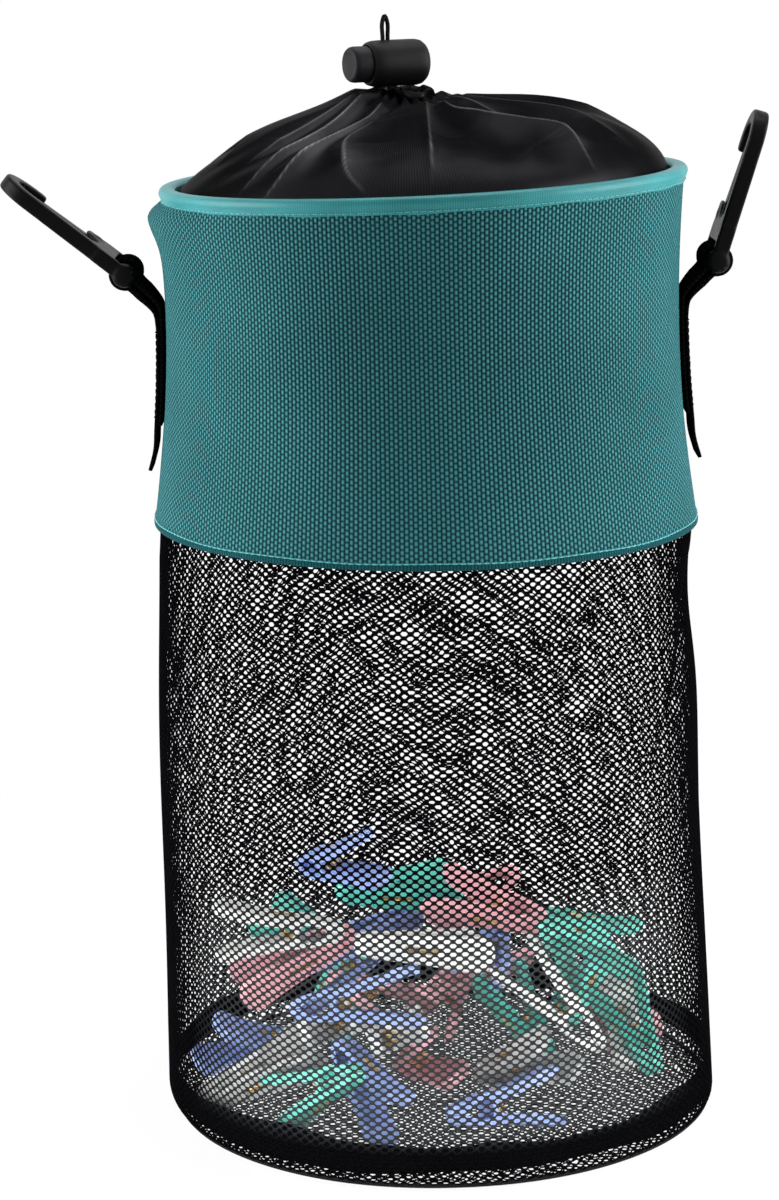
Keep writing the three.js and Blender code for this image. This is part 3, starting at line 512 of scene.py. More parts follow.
def tubeMesh(name, path, radius, sides=10, closed=False):
    path = np.asarray(path, float)
    ahead = np.roll(path, -1, 0) - np.roll(path, 1, 0) if closed else np.gradient(path, axis=0)
    ahead /= np.linalg.norm(ahead, axis=1)[:, None]
    side = np.cross(ahead[0], (0.31, 0.17, 0.93))  # a direction that no path here starts along
    angles = evenAngles(sides)[:, None]
    radii = np.broadcast_to(radius, len(path)).astype(float)
    grid = []
    for k, point in enumerate(path):
        side = side - ahead[k] * (side @ ahead[k])
        side /= np.linalg.norm(side)
        other = np.cross(ahead[k], side)
        grid.append(point + radii[k] * (np.cos(angles) * side + np.sin(angles) * other))
    if not closed:
        start = tubeTip(path[0], grid[0], -ahead[0] * radii[0])
        grid = start[::-1] + grid + tubeTip(path[-1], grid[-1], ahead[-1] * radii[-1])
    length = np.linalg.norm(np.diff(path, axis=0), axis=1).sum()
    return gridMesh(name, np.array(grid), closed, True, (length, fullTurn * float(radii.mean())), flip=True)


# the drawcord: both strands run in the gathered neck, rise through the lock and meet in a loop
cordSet = {"radius": 0.8 * mm, "points": 220, "sides": 12, "neck": (-4.0, 7.5), "exitAngle": 194.0,
           "lockHeading": (-0.88295, -0.46947), "runTurns": (2.85, 0.75), "runHeight": 387.0,
           "riseTurn": 0.36, "riseHeight": 388.5, "lockHeights": (392.1, 396.5, 405.0, 410.5),
           "spread": 1.05, "bowHeight": 415.2, "bowSpread": 1.176, "loopTop": 418.2}


def cordRoute(setup):
    exitAngle = math.radians(setup["exitAngle"])
    middle, radius = setup["neck"]
    heading = np.array((*setup["lockHeading"], 0.0))

    def onRing(angle, height):
        return np.array((middle + radius * math.cos(angle), radius * math.sin(angle), height))
    leaves = onRing(exitAngle, 0.0)

    def strand(side):
        run = [onRing(exitAngle + side * t, setup["runHeight"]) for t in np.linspace(*setup["runTurns"], 6)]
        rise = [onRing(exitAngle + side * setup["riseTurn"], setup["riseHeight"])]
        upward = [leaves + heading * side * setup["spread"] + (0, 0, z) for z in setup["lockHeights"]]
        bow = [leaves + heading * side * setup["bowSpread"] + (0, 0, setup["bowHeight"])]
        return run + rise + upward + bow
    loop = leaves + (0, 0, setup["loopTop"])
    return np.array(strand(1) + [loop] + strand(-1)[::-1]) * mm


cordPath, cordLength = smoothPath(cordRoute(cordSet), cordSet["points"])
cordTube = closeUp(tubeMesh("drawcord_braid", cordPath, cordSet["radius"], cordSet["sides"]), pointGap)
drawcord = addPiece("drawcord_braid", cordTube, [cordBraid], "closure", ("drawcord",))
print("drawcord, length", round(cordLength, 4))

# the bag's own form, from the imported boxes
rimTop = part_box("rim_binding")[1].z
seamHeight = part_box("band_shell")[0].z
bagShape = {"topRadius": 98.8 * mm, "seamRadius": 103.0 * mm, "waist": 4.4 * mm, "wallTop": 101.3 * mm,
            "baseRadius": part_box("base_panel")[1].x, "cornerLeft": 8.0 * mm, "cornerRight": 4.0 * mm,
            "rimTilt": 0.022, "seamTilt": -0.016}
dentSet = {"lip": 3.6, "lipWide": 0.55, "lipBelow": 11 * mm, "lipTall": 10 * mm, "lipFade": (3 * mm, 6 * mm),
           "tuck": 3.0 * mm, "tuckWide": 0.6, "tuckBelow": 12 * mm, "tuckTall": 7 * mm}


def lean(x, z):  # the rim sits higher at the right, the seam lower
    return x * np.interp(z, (0.0, seamHeight, rimTop), (0.0, bagShape["seamTilt"], bagShape["rimTilt"]))


def belowRim(z):  # 0 at the rim, 1 at the seam
    return (rimTop - z) / (rimTop - seamHeight)


def bandRadius(z):
    share = np.clip(belowRim(z), -0.2, 1.1)
    return (bagShape["topRadius"] + (bagShape["seamRadius"] - bagShape["topRadius"]) * share
            - bagShape["waist"] * np.sin(math.pi * share))


def bandDents(angle, z):  # the stiffened band is not quite round
    share = np.clip(belowRim(z), 0, 1)
    dents = waves(angle, [(0.45, 3, 0.8), (0.3, 5, -1.1), (0.25, 9, 6 * share)])
    start, length = dentSet["lipFade"]
    lip = (hill(turnFrom(angle, math.pi), dentSet["lipWide"])
           * hill(z - rimTop + dentSet["lipBelow"], dentSet["lipTall"])
           * soften((rimTop - start - z) / length))
    return mm * (np.sin(math.pi * share) * dents + dentSet["lip"] * lip)


def rimTuck(angle, z):  # the rim is pressed in at the left
    near = soften((z - rimTop + dentSet["tuckBelow"]) / dentSet["tuckTall"])
    return dentSet["tuck"] * hill(turnFrom(angle, math.pi), dentSet["tuckWide"]) * near


def around(radius, angle, z):
    radius = radius - rimTuck(angle, z)
    x, y = radius * np.cos(angle), radius * np.sin(angle)
    return np.stack(np.broadcast_arrays(x, y, z + lean(x, z)), -1)


def ringLayer(name, columns, heights, inner, outer, rounded=0.2 * mm):  # a closed ring with two skins
    angle = evenAngles(columns)[:, None]
    heights = np.asarray(heights)[None]
    low, high = heights[:, :1], heights[:, -1:]

    def skin(radius, z):
        return around(radius(angle, z), angle, z + 0 * angle)

    def edge(z, shift):
        return around((outer(angle, z) + inner(angle, z)) / 2, angle, z + shift + 0 * angle)
    grid = np.concatenate([skin(outer, heights), edge(high, rounded), skin(inner, heights[:, ::-1]),
                           edge(low, -rounded)], 1)
    length = 2 * (heights[0, -1] - heights[0, 0]) + 4 * mm
    return gridMesh(name, grid, True, True, (fullTurn * 0.1, length))


bandSet = {
    "foot": 0.3 * mm, "top": rimTop - 2.6 * mm, "rows": 90,
    "layers": [  # piece, node, slot, cloth, columns, rows taken, depth of the outer and the inner skin
        ("band_cloth", "band_shell", "band_cloth", bandCloth, 300, slice(None), 0.0, 1.4 * mm),
        ("band_board", "band_stiffener", "stiff_board", board, 200, slice(1, -1, 6), 1.7 * mm, 2.9 * mm),
        ("band_lining_cloth", "band_lining", "black_cloth", liningCloth, 200, slice(None, None, 4),
         3.2 * mm, 4.0 * mm)]}


def makeBand(setup):
    heights = np.linspace(seamHeight + setup["foot"], setup["top"], setup["rows"])

    def skin(depth):
        return lambda angle, z: bandRadius(z) + bandDents(angle, z) - depth
    for name, node, slotName, cloth, columns, taken, outer, inner in setup["layers"]:
        mesh = ringLayer(name, columns, heights[taken], skin(inner), skin(outer))
        addPiece(name, mesh, [cloth], "bag", (node,))


makeBand(bandSet)
print("band layers made")


def ringTube(name, count, place, radius, sides=10):
    return tubeMesh(name, place(evenAngles(count)), radius, sides, closed=True)


def stitchRing(name, count, place, length, radius, lift):  # short rounded dashes along a ring
    meshes = []
    span = np.linspace(-0.5, 0.5, 7)
    bow = np.cos(span * math.pi)
    for k in range(count):
        middle = (k + 0.5) * fullTurn / count
        radiusHere = np.linalg.norm(place(np.array([middle]))[0][:2])
        away = np.array((math.cos(middle), math.sin(middle), 0))
        path = place(middle + span * length / radiusHere)
        path = path + away * (lift * bow ** 0.5 - radius * 0.6)[:, None]
        meshes.append(tubeMesh("dash", path, radius * (0.75 + 0.25 * bow), 6))
    joined = closeUp(joinMeshes(name, meshes), threadGap)
    for mesh in meshes:
        bpy.data.meshes.remove(mesh)
    return joined


# the rim: a glossy folded tape over the wire hoop, with one row of stitches
rimSet = {
    "outer": 100.0 * mm, "inner": 93.6 * mm, "leg": 6.0 * mm, "footOut": 0.35 * mm, "columns": 300,
    # the tape's two faces: measured from the foot, the outer or the inner radius, then up from the top, in mm
    "outside": [("foot", 0, -6), ("foot", 0.5, -4.2), ("outer", -0.1, -2.4), ("outer", -0.35, -1.1),
                ("outer", -1.3, -0.2), ("outer", -2.8, 0), ("inner", 2.4, 0), ("inner", 1.0, -0.3),
                ("inner", 0.1, -1.4), ("inner", 0.1, -3.0), ("inner", 0.1, -6)],
    "inside": [("inner", 0.9, -6), ("inner", 1.0, -2.2), ("inner", 1.9, -1.1), ("outer", -2.6, -0.95),
               ("outer", -1.2, -2.2), ("foot", -0.5, -5.8)],
    "ripples": [(0.25, 17, 0.5), (0.2, 29, 0)],
    "hoopRadius": 96.8 * mm, "hoopBelow": 2.0 * mm, "hoopWire": 0.75 * mm,
    "stitches": 230, "stitchOut": 0.75 * mm, "stitchUp": 0.9 * mm}


def makeRim(setup):
    legLow = rimTop - setup["leg"]
    starts = {"foot": bandRadius(legLow) + setup["footOut"], "outer": setup["outer"], "inner": setup["inner"]}

    def face(rows, count):
        return smoothPath([(starts[start] + out * mm, 0, rimTop + up * mm) for start, out, up in rows], count)
    section, length = face(setup["outside"], 30)
    back, _ = face(setup["inside"], 16)
    radius, _, height = np.concatenate([section, back]).T[:, None]
    angle = evenAngles(setup["columns"])[:, None]
    ripple = mm * waves(angle, setup["ripples"]) * np.clip((rimTop - height) / setup["leg"], 0, 1)
    grid = around(radius + 0.25 * ripple, angle, height + 0.6 * ripple)
    mesh = closeUp(gridMesh("rim_tape", grid, True, True, (fullTurn * setup["outer"], length * 2)))
    addPiece("rim_tape", mesh, [trimTape], "bag", ("rim_binding",))

    def hoopLine(angle):
        return around(setup["hoopRadius"], angle, rimTop - setup["hoopBelow"])

    def stitchLine(angle):
        return around(bandRadius(legLow) + setup["stitchOut"], angle, legLow + setup["stitchUp"])
    hoop = ringTube("rim_wire", 160, hoopLine, setup["hoopWire"])
    addPiece("rim_wire", hoop, [steelWire], "bag", ("rim_hoop",))
    stitches = stitchRing("rim_stitches", setup["stitches"], stitchLine, 1.9 * mm, 0.16 * mm, 0.1 * mm)
    addPiece("rim_stitches", stitches, [thread], "bag", ())


makeRim(rimSet)
print("rim made")

# the seam: one bright stitched line a little above the lower edge, a narrow dark hem under it
seamSet = {"columns": 320, "ridge": 0.3 * mm, "line": 1.5 * mm, "lineWave": 0.2 * mm, "tapeTop": 1.2 * mm,
           "tapeLow": -0.8 * mm, "swell": 0.3 * mm, "swellUp": 0.3 * mm, "swellTall": 2.6 * mm,
           "proud": 0.1 * mm, "sunk": 0.2 * mm, "wallRoom": 0.75 * mm, "stitches": 230,
           "stitchOut": 0.22 * mm}


def makeSeam(setup):
    def outer(angle, z):
        swell = np.clip(1 - ((z - seamHeight - setup["swellUp"]) / setup["swellTall"]) ** 2, 0, 1)
        plain = bandRadius(np.maximum(z, seamHeight)) + bandDents(angle, z)
        return plain + setup["proud"] + setup["swell"] * swell

    def inner(angle, z):
        sunk = bandRadius(z) + bandDents(angle, z) - setup["sunk"]
        return np.where(z < seamHeight, bagShape["wallTop"] + setup["wallRoom"], sunk)

    def ridgeLine(angle):
        z = seamHeight + setup["line"]
        radius = bandRadius(z) + bandDents(angle, z) + setup["proud"]
        return around(radius, angle, z + setup["lineWave"] * np.sin(11 * angle))

    def stitchLine(angle):
        return ridgeLine(angle) + setup["stitchOut"] * np.stack([np.cos(angle), np.sin(angle), 0 * angle], -1)
    piping = ringTube("seam_piping", setup["columns"], ridgeLine, setup["ridge"])
    addPiece("seam_piping", piping, [trimTape], "bag", ())
    heights = seamHeight + np.linspace(setup["tapeLow"], setup["tapeTop"], 9)
    tape = ringLayer("seam_tape", setup["columns"], heights, inner, outer, 0.15 * mm)
    addPiece("seam_tape", tape, [hemTape], "bag", ("band_hem",))
    stitches = stitchRing("seam_stitches", setup["stitches"], stitchLine, 2.2 * mm, 0.26 * mm, 0.15 * mm)
    addPiece("seam_stitches", stitches, [thread], "bag", ())


makeSeam(seamSet)
print("seam made")

# the net: staggered oval holes in knitted yarn, one lattice from the seam round the base corner
netSet = {
    "columns": 150, "rowStep": 1.61 * mm, "girthRadius": 0.104, "startAngle": 0.3, "thick": 0.6 * mm,
    "holeWide": 1.32 * mm, "holeTall": 0.90 * mm, "knot": 0.3876, "panels": 8, "edgeRows": 13,
    "wallTopHeight": 239.5 * mm, "wallLow": 12.0 * mm, "wallLength": 0.235, "baseLift": 0.55 * mm,
    "baseEdge": 9.0 * mm, "baseRoom": 2.0 * mm,
    # where pegs lie behind the yarn: heights, the fade at each, the front, its fade
    "pegTop": 112 * mm, "pegTopFade": 26 * mm, "pegLow": 14 * mm, "pegLowFade": 8 * mm,
    "pegFront": 50 * mm, "pegFrontFade": 35 * mm,
    # the back hangs less evenly than the front: amount, count in a turn, change on the way down
    "sway": [(0.034, 3, 21), (0.018, 7, -37), (0.007, 31, 310), (0.006, 47, -420)],
    "sag": [(2.2, 5, 13), (1.3, 11, 29), (0.5, 41, -260), (0.4, 29, 450)]}
wallSet = {
    # slow waves: amount, count in a turn, start, change with height
    "slow": [(0.5, 2, 1.9, 0), (0.5, 5, 0, 14), (0.35, 9, 0, -22)],
    "slowSize": 0.8, "lowFade": 30 * mm, "topFade": 14 * mm,
    # broad dents: amount in mm, angle, width, height, how tall
    "dents": [(1.6, math.pi, 0.6, 0.150, 0.06), (-3.0, -0.10, 0.45, 0.203, 0.026),
              (-1.2, -0.05, 0.5, 0.120, 0.06)],
    # slanted grooves: depth in mm, angle, slant, height of that angle, width, low end, fade, high end, fade
    "grooves": [(1.6, -0.28, 0.40 / 0.06, 0.200, 0.06, 0.13, 0.02, 0.218, 0.012),
                (1.2, -2.75, -0.25 / 0.05, 0.170, 0.07, 0.10, 0.03, 0.205, 0.03)],
    "reach": 2.5 * mm, "reachAngle": -0.45, "reachTall": 0.12, "tuckTall": 2 * mm, "tuckIn": 1.9 * mm,
    "skin": 0.6 * mm}


def wallFolds(angle, z):
    fade = np.clip(z / wallSet["lowFade"], 0, 1) * np.clip((seamHeight - z) / wallSet["topFade"], 0, 1)
    slow = waves(angle, [(size, count, start + drift * z) for size, count, start, drift in wallSet["slow"]])
    total = wallSet["slowSize"] * slow
    for size, middle, wide, height, tall in wallSet["dents"]:
        total = total + size * hill(turnFrom(angle, middle), wide) * hill(z - height, tall)
    for depth, middle, slant, height, wide, low, lowFade, high, highFade in wallSet["grooves"]:
        line = turnFrom(angle, 0) - middle + slant * (height - z)
        ends = np.clip((z - low) / lowFade, 0, 1) * np.clip((high - z) / highFade, 0, 1)
        total = total - depth * hill(line, wide) * ends
    return mm * fade * total


def cornerOf(angle):
    share = 0.5 - 0.5 * np.cos(angle)
    return bagShape["cornerRight"] + (bagShape["cornerLeft"] - bagShape["cornerRight"]) * share


def wallRadius(angle, z):
    reach = (wallSet["reach"] * np.clip(np.cos(angle - wallSet["reachAngle"]), 0, 1) ** 4
             * np.clip(1 - z / wallSet["reachTall"], 0, 1))
    ends = (bagShape["baseRadius"] - wallSet["skin"], bagShape["wallTop"] - wallSet["skin"])
    plain = np.interp(z, (0.0, seamHeight), ends)
    tucked = np.minimum(bandRadius(np.maximum(z, seamHeight)) - wallSet["tuckIn"], plain)
    return np.where(z > seamHeight - wallSet["tuckTall"], tucked, plain) + reach + wallFolds(angle, z)


def wallPlace(angle, down):  # down the wall from the top edge, round the corner and inwards on the base
    corner = cornerOf(angle)
    z = netSet["wallTopHeight"] - down
    turnLength = corner * math.pi / 2
    past = np.clip(corner - z, 0, None)
    turned = np.clip(past / turnLength, 0, 1)
    bend = turned * math.pi / 2
    inward = np.clip(past - turnLength, 0, None)
    radius = wallRadius(angle, np.maximum(z, corner)) - corner + corner * np.cos(bend) - inward
    height = np.where(z > corner, z, corner - corner * np.sin(bend)) + netSet["baseLift"] * turned
    normal = np.stack([np.cos(angle) * np.cos(bend), np.sin(angle) * np.cos(bend), -np.sin(bend)], -1)
    x, y = radius * np.cos(angle), radius * np.sin(angle)
    return np.stack([x, y, height + lean(x, height)], -1), normal


def holeGrid(rows, columns):  # pairs of column and row, every second row half a hole aside
    rows, columns = np.meshgrid(rows, columns, indexing="ij")
    return np.stack([columns + 0.5 * (rows % 2), rows], -1).reshape(-1, 2).astype(float)


def latticeMesh(name, holes, place, setup, pitch):  # place: lattice to point and normal
    wide = setup["knot"]
    slim = 0.5 - wide
    corners = np.array([(wide, 0), (slim, 1), (-slim, 1), (-wide, 0), (-slim, -1), (slim, -1)])
    angles = evenAngles(6)
    ring = np.stack([setup["holeWide"] / pitch * np.cos(angles),
                     setup["holeTall"] / setup["rowStep"] * np.sin(angles)], 1)
    outerSpots = (holes[:, None, :] + corners[None]).reshape(-1, 2)
    keys = np.round(outerSpots * 1000).astype(np.int64)
    keys = keys[:, 0] * 10000000 + keys[:, 1]  # one number for each place, so holes share their knots
    _, firstUse, index = np.unique(keys, return_index=True, return_inverse=True)
    knots = outerSpots[firstUse]
    ringSpots = (holes[:, None, :] + ring[None]).reshape(-1, 2)
    knotPoints, knotNormals = place(knots)
    ringPoints, _ = place(ringSpots)
    count = len(knots)
    points = np.concatenate([knotPoints + knotNormals * setup["thick"] / 2,
                             knotPoints - knotNormals * setup["thick"] / 2, ringPoints])
    spots = np.concatenate([knots, knots, ringSpots])
    outer = index.reshape(-1, 6)
    inner = 2 * count + np.arange(len(ringSpots)).reshape(-1, 6)
    outerNext, innerNext = np.roll(outer, -1, 1), np.roll(inner, -1, 1)
    front = np.stack([outerNext, outer, inner, innerNext], -1).reshape(-1, 4)
    back = np.stack([outer, outerNext, innerNext, inner], -1).reshape(-1, 4)
    back = np.where(back < count, back + count, back)
    quads = np.concatenate([front, back])
    low, high = spots.min(0), spots.max(0)
    share = (spots - low) / (high - low) * 0.98 + 0.01
    metric = spots * (pitch, setup["rowStep"])
    mesh = quadMesh(name, points, quads, {"cloth": metric[quads], "OFBake": share[quads]})
    x, y, z = points.T
    near = (np.clip((setup["pegTop"] - z) / setup["pegTopFade"], 0, 1)
            * np.clip((z - setup["pegLow"]) / setup["pegLowFade"], 0, 1))
    front = np.clip((-y - setup["pegFront"]) / setup["pegFrontFade"], 0, 1)
    addMask(mesh, near * front)  # the pegs throw light on the yarn in front of them
    return mesh


def makeNet(setup):
    pitch = fullTurn * setup["girthRadius"] / setup["columns"]
    step = setup["rowStep"]

    def onWall(spots):
        angle = setup["startAngle"] + spots[:, 0] * fullTurn / setup["columns"]
        down = spots[:, 1] * step
        loose = (np.clip(0.35 + 0.9 * np.sin(angle), 0, 1)
                 * np.sin(math.pi * np.clip(down / setup["wallLength"], 0, 1)))
        sway, sag = (waves(angle, [(size, count, drift * down) for size, count, drift in rows])
                     for rows in (setup["sway"], setup["sag"]))
        return wallPlace(angle + loose * sway, down + mm * loose * sag)

    def onBase(spots):
        height = np.full(len(spots), setup["baseLift"])
        points = np.stack([spots[:, 0] * pitch, -spots[:, 1] * step, height], -1)
        return points, np.tile((0.0, 0.0, 1.0), (len(spots), 1))

    def knit(name, holes, place, node):
        mesh = latticeMesh(name, holes, place, setup, pitch)
        piece = addPiece(name, mesh, [netYarn], "bag", (node,))
        piece.visible_shadow = False  # so the pegs behind it keep their light
    wallRows = int((setup["wallTopHeight"] - setup["wallLow"]) / step)
    edges = np.linspace(0, setup["columns"], setup["panels"] + 1).astype(int)
    for k in range(setup["panels"]):
        holes = holeGrid(np.arange(1, wallRows), np.arange(edges[k], edges[k + 1]))
        knit("net_wall_" + str(k + 1), holes, onWall, "mesh_wall")
    holes = holeGrid(np.arange(wallRows, wallRows + setup["edgeRows"]), np.arange(setup["columns"]))
    knit("net_base_edge", holes, onWall, "base_panel")
    reach = bagShape["baseRadius"] - setup["baseEdge"]
    wide, tall = int(reach / pitch) + 1, int(reach / step) + 1
    holes = holeGrid(np.arange(-tall, tall + 1), np.arange(-wide, wide + 1))
    inReach = np.hypot(holes[:, 0] * pitch, holes[:, 1] * step) < reach - setup["baseRoom"]
    knit("net_base", holes[inReach], onBase, "base_panel")


makeNet(netSet)
print("net knitted")

# the base edge: a wavy sewn tape inside the wall and a thin corded edge
baseSet = {
    "low": 6.5 * mm, "lowWaves": [(0.7, 4, 0.4), (0.4, 11, 0)], "columns": 360,
    "high": 17.5 * mm, "highWaves": [(1.6, 3, 2.2), (0.9, 8, 0), (0.5, 17, 0)], "rows": 10,
    "inside": 0.75 * mm, "thick": 0.7 * mm, "curl": 2.0 * mm, "curlTall": 9 * mm,
    "cord": 0.8 * mm, "cordOut": 0.3 * mm, "cordTurn": 1.0, "cordRoom": 0.1 * mm}


def makeBaseEdge(setup):
    angle = evenAngles(setup["columns"])[:, None]
    top = setup["high"] + mm * waves(angle, setup["highWaves"])
    low = setup["low"] + mm * waves(angle, setup["lowWaves"])
    z = low + (top - low) * np.linspace(0, 1, setup["rows"])[None]
    curl = np.clip(1 - z / setup["curlTall"], 0, 1) * setup["curl"] * (0.5 - 0.5 * np.cos(angle))
    outside = wallRadius(angle, z) - setup["inside"] - curl
    skins = [around(outside, angle, z), around(outside - setup["thick"], angle, z)[:, ::-1]]
    mesh = gridMesh("base_tape_cloth", np.concatenate(skins, 1), True, True, (fullTurn * 0.105, 0.024))
    addPiece("base_tape_cloth", closeUp(mesh), [tapeCloth], "bag", ("base_tape",))

    def edgeLine(angle):
        corner = cornerOf(angle)
        turn, out = setup["cordTurn"], setup["cordOut"]
        radius = wallRadius(angle, corner) - corner * (1 - math.cos(turn)) + out
        height = np.maximum(corner * (1 - math.sin(turn)) + out, setup["cord"] + setup["cordRoom"])
        return around(radius, angle, height)
    edge = ringTube("base_edge_cord", 320, edgeLine, setup["cord"], 8)
    addPiece("base_edge_cord", edge, [cordBraid], "bag", ())


makeBaseEdge(baseSet)
print("base edge made")

# the closure: black satin drawn to a neck, creases run out from the neck
closureSet = {
    "edge": 92.6 * mm, "below": 2.8 * mm, "neckRadius": 8.6 * mm, "neckX": -4.0 * mm, "thick": 0.5 * mm,
    "columns": 860, "rows": 170, "frontCrowd": 0.45, "rowEase": 1.05, "skirt": (-5.5, -0.6, 5),
    "left": (33.5 * mm, 1.25, 0.75), "right": (29.5 * mm, 2.5, 0.52),  # rise, belly, shoulder of each side
    # shineWide, besideShine and besideWide shape the painted highlight along the crests
    "crestRound": 0.5, "shineWide": 0.42, "besideShine": 0.22, "besideWide": 4.0,
    "pleats": 1.1 * mm, "pleatCount": 22, "pleatReach": 11 * mm, "calmEdge": 14 * mm, "ripple": 0.3 * mm,
    # creases: height, width uphill, width downhill, points on the plan, all in mm, painted highlight along
    # the crest
    "creases": [
        (4.6, 7.0, 2.2, [(-9, -8), (-20, -36), (-32, -51), (-44, -64), (-51, -70), (-57, -74)], 0.9),
        (4.2, 6.5, 2.4, [(-12, -6), (-22, -16), (-37, -41), (-50, -52), (-58, -58), (-64, -62)], 0.8),
        (3.4, 6.0, 2.4, [(-13, -4), (-28, -16), (-45, -28), (-62, -38)], 0.5),
        (3.4, 6.0, 2.6, [(-14, -1), (-34, -4), (-56, -12), (-74, -20)], 0.35),
        (2.6, 2.4, 5.0, [(-12, -30), (-21, -50), (-26, -59), (-27, -68), (-26, -79), (-20, -88)], 0.7),
        (2.6, 3.0, 2.6, [(1, -12), (3, -24), (3.4, -54), (3.7, -74), (3.6, -89)], 0.25),
        (4.4, 7.0, 2.2, [(5, -12), (14, -34), (22, -43), (28, -46.6), (39, -46), (48, -46), (53.4, -50),
                         (57, -58), (61, -66)], 0.9),
        (3.0, 5.0, 3.4, [(7, -8), (19, -17), (26, -28), (33, -38)], 0.35),
        (3.0, 6.0, 3.0, [(8, -3), (30, -8), (52, -20), (72, -34)], 0.4),
        (3.2, 6.0, 3.0, [(8, 2), (32, 6), (58, 8), (80, 6)], 0.4),
        (3.4, 3.0, 6.0, [(7, 6), (28, 22), (50, 34), (68, 44)], 0.4),
        (3.8, 5.0, 3.0, [(4, 8), (16, 30), (30, 56), (38, 74)], 0.5),
        (3.4, 3.0, 6.0, [(0, 9), (2, 34), (0, 62), (-4, 82)], 0.5),
        (3.8, 5.0, 3.0, [(-8, 9), (-18, 32), (-32, 54), (-40, 72)], 0.5),
        (3.4, 3.0, 6.0, [(-12, 6), (-34, 22), (-54, 36), (-68, 44)], 0.4),
        (3.2, 6.0, 3.0, [(-13, 2), (-38, 8), (-62, 14), (-80, 16)], 0.4)],
    # hollows between the creases: depth, width, points
    "hollows": [
        (3.2, 9.0, [(-12, -16), (-30, -44), (-44, -56)]), (2.8, 9.0, [(-18, -9), (-40, -26), (-58, -40)]),
        (2.4, 8.0, [(-10, -22), (-14, -44), (-16, -64)]), (3.4, 7.0, [(2, -16), (9, -40), (14, -60)]),
        (2.6, 10.0, [(14, -20), (34, -34), (56, -40)]), (2.0, 12.0, [(24, -62), (40, -64)]),
        (2.6, 10.0, [(16, 2), (44, -4), (66, -10)]), (2.6, 10.0, [(14, 14), (40, 22), (62, 28)]),
        (2.6, 10.0, [(8, 20), (24, 44), (36, 60)]), (2.6, 10.0, [(-6, 22), (-12, 46), (-18, 64)]),
        (2.6, 10.0, [(-20, 16), (-42, 32), (-58, 44)]), (2.6, 10.0, [(-22, 4), (-48, 4), (-70, 2)])]}


def awayFromLine(x, y, points):  # distance to a line on the plan in mm, its side, the share run along it
    points = np.asarray(points, float) * mm
    best = np.full(x.shape, 1.0)
    side = np.zeros(x.shape)
    run = np.zeros(x.shape)
    lengths = np.linalg.norm(np.diff(points, axis=0), axis=1)
    start = 0.0
    for (ax, ay), (bx, by), length in zip(points[:-1], points[1:], lengths):
        t = np.clip(((x - ax) * (bx - ax) + (y - ay) * (by - ay)) / length ** 2, 0, 1)
        dx, dy = x - ax - t * (bx - ax), y - ay - t * (by - ay)
        gap = np.hypot(dx, dy)
        nearer = gap < best
        best = np.where(nearer, gap, best)
        side = np.where(nearer, (bx - ax) * dy - (by - ay) * dx, side)
        run = np.where(nearer, (start + t * length) / lengths.sum(), run)
        start += length
    return best / mm, side, run


def planLine(line, count):
    return smoothPath([(x, y, 0) for x, y in line], count)[0][:, :2]


def closureFolds(setup, x, y):  # heights of creases and hollows, and the painted highlight along the crests
    folds, paintedShine = 0 * x, 0 * x
    for height, up, down, line, bright in setup["creases"]:
        gap, side, run = awayFromLine(x, y, planLine(line, 24))
        rounded = np.hypot(gap, setup["crestRound"]) - setup["crestRound"]
        crest = np.exp(-rounded / np.where(side > 0, down, up))
        ends = np.clip(run / 0.15, 0.35, 1) * np.clip((1.02 - run) / 0.25, 0, 1)
        folds = folds + height * mm * crest * ends
        # painted highlight: a thin line on the crest, a softer band on its downhill side
        start = np.clip((run - 0.12) / 0.2, 0, 1)
        beside = setup["besideShine"] * np.exp(-gap / setup["besideWide"]) * (side > 0)
        along = np.maximum(hill(gap, setup["shineWide"]), beside)
        paintedShine = np.maximum(paintedShine, bright * along * ends * start)
    for depth, width, line in setup["hollows"]:
        gap, _, run = awayFromLine(x, y, planLine(line, 14))
        folds = folds - depth * mm * hill(gap, width) * np.sin(math.pi * np.clip(0.12 + 0.8 * run, 0, 1))
    return folds, paintedShine


def closurePlace(setup, angle, share):  # share 0 at the rim, 1 at the neck
    reach = setup["edge"] + (setup["neckRadius"] - setup["edge"]) * share
    rel = reach / setup["edge"]
    left, right = (rise * (1 - rel ** belly) ** shoulder
                   for rise, belly, shoulder in (setup["left"], setup["right"]))
    level = right + (left - right) * (0.5 - 0.5 * np.cos(angle))
    tucked = reach - rimTuck(angle, rimTop) * (1 - share) ** 3
    x = tucked * np.cos(angle) + setup["neckX"] * share
    y = tucked * np.sin(angle)
    folds, paintedShine = closureFolds(setup, x, y)
    pleats = (setup["pleats"] * np.sin(setup["pleatCount"] * angle + 0.6 * np.sin(5 * angle))
              * hill(reach - setup["neckRadius"], setup["pleatReach"]))
    far = np.clip((setup["edge"] - reach) / setup["calmEdge"], 0, 1)
    folds = (folds + pleats) * (0.02 + 0.98 * soften(far))
    puff = mm * waves(angle, [(1.2, 4, 0.7 + 2 * rel), (0.8, 7, 5 * rel - 1.2)])
    puff = puff * np.sin(math.pi * share) ** 1.2  # none at the rim and the neck
    ripple = setup["ripple"] * np.sin(23 * angle + 9 * rel) * np.clip((rel - 0.55) / 0.3, 0, 1) * far
    z = rimTop - setup["below"] + level + folds + puff + ripple
    return np.stack([x, y, z + lean(x, np.full_like(z, rimTop)) * (1 - share)], -1), paintedShine


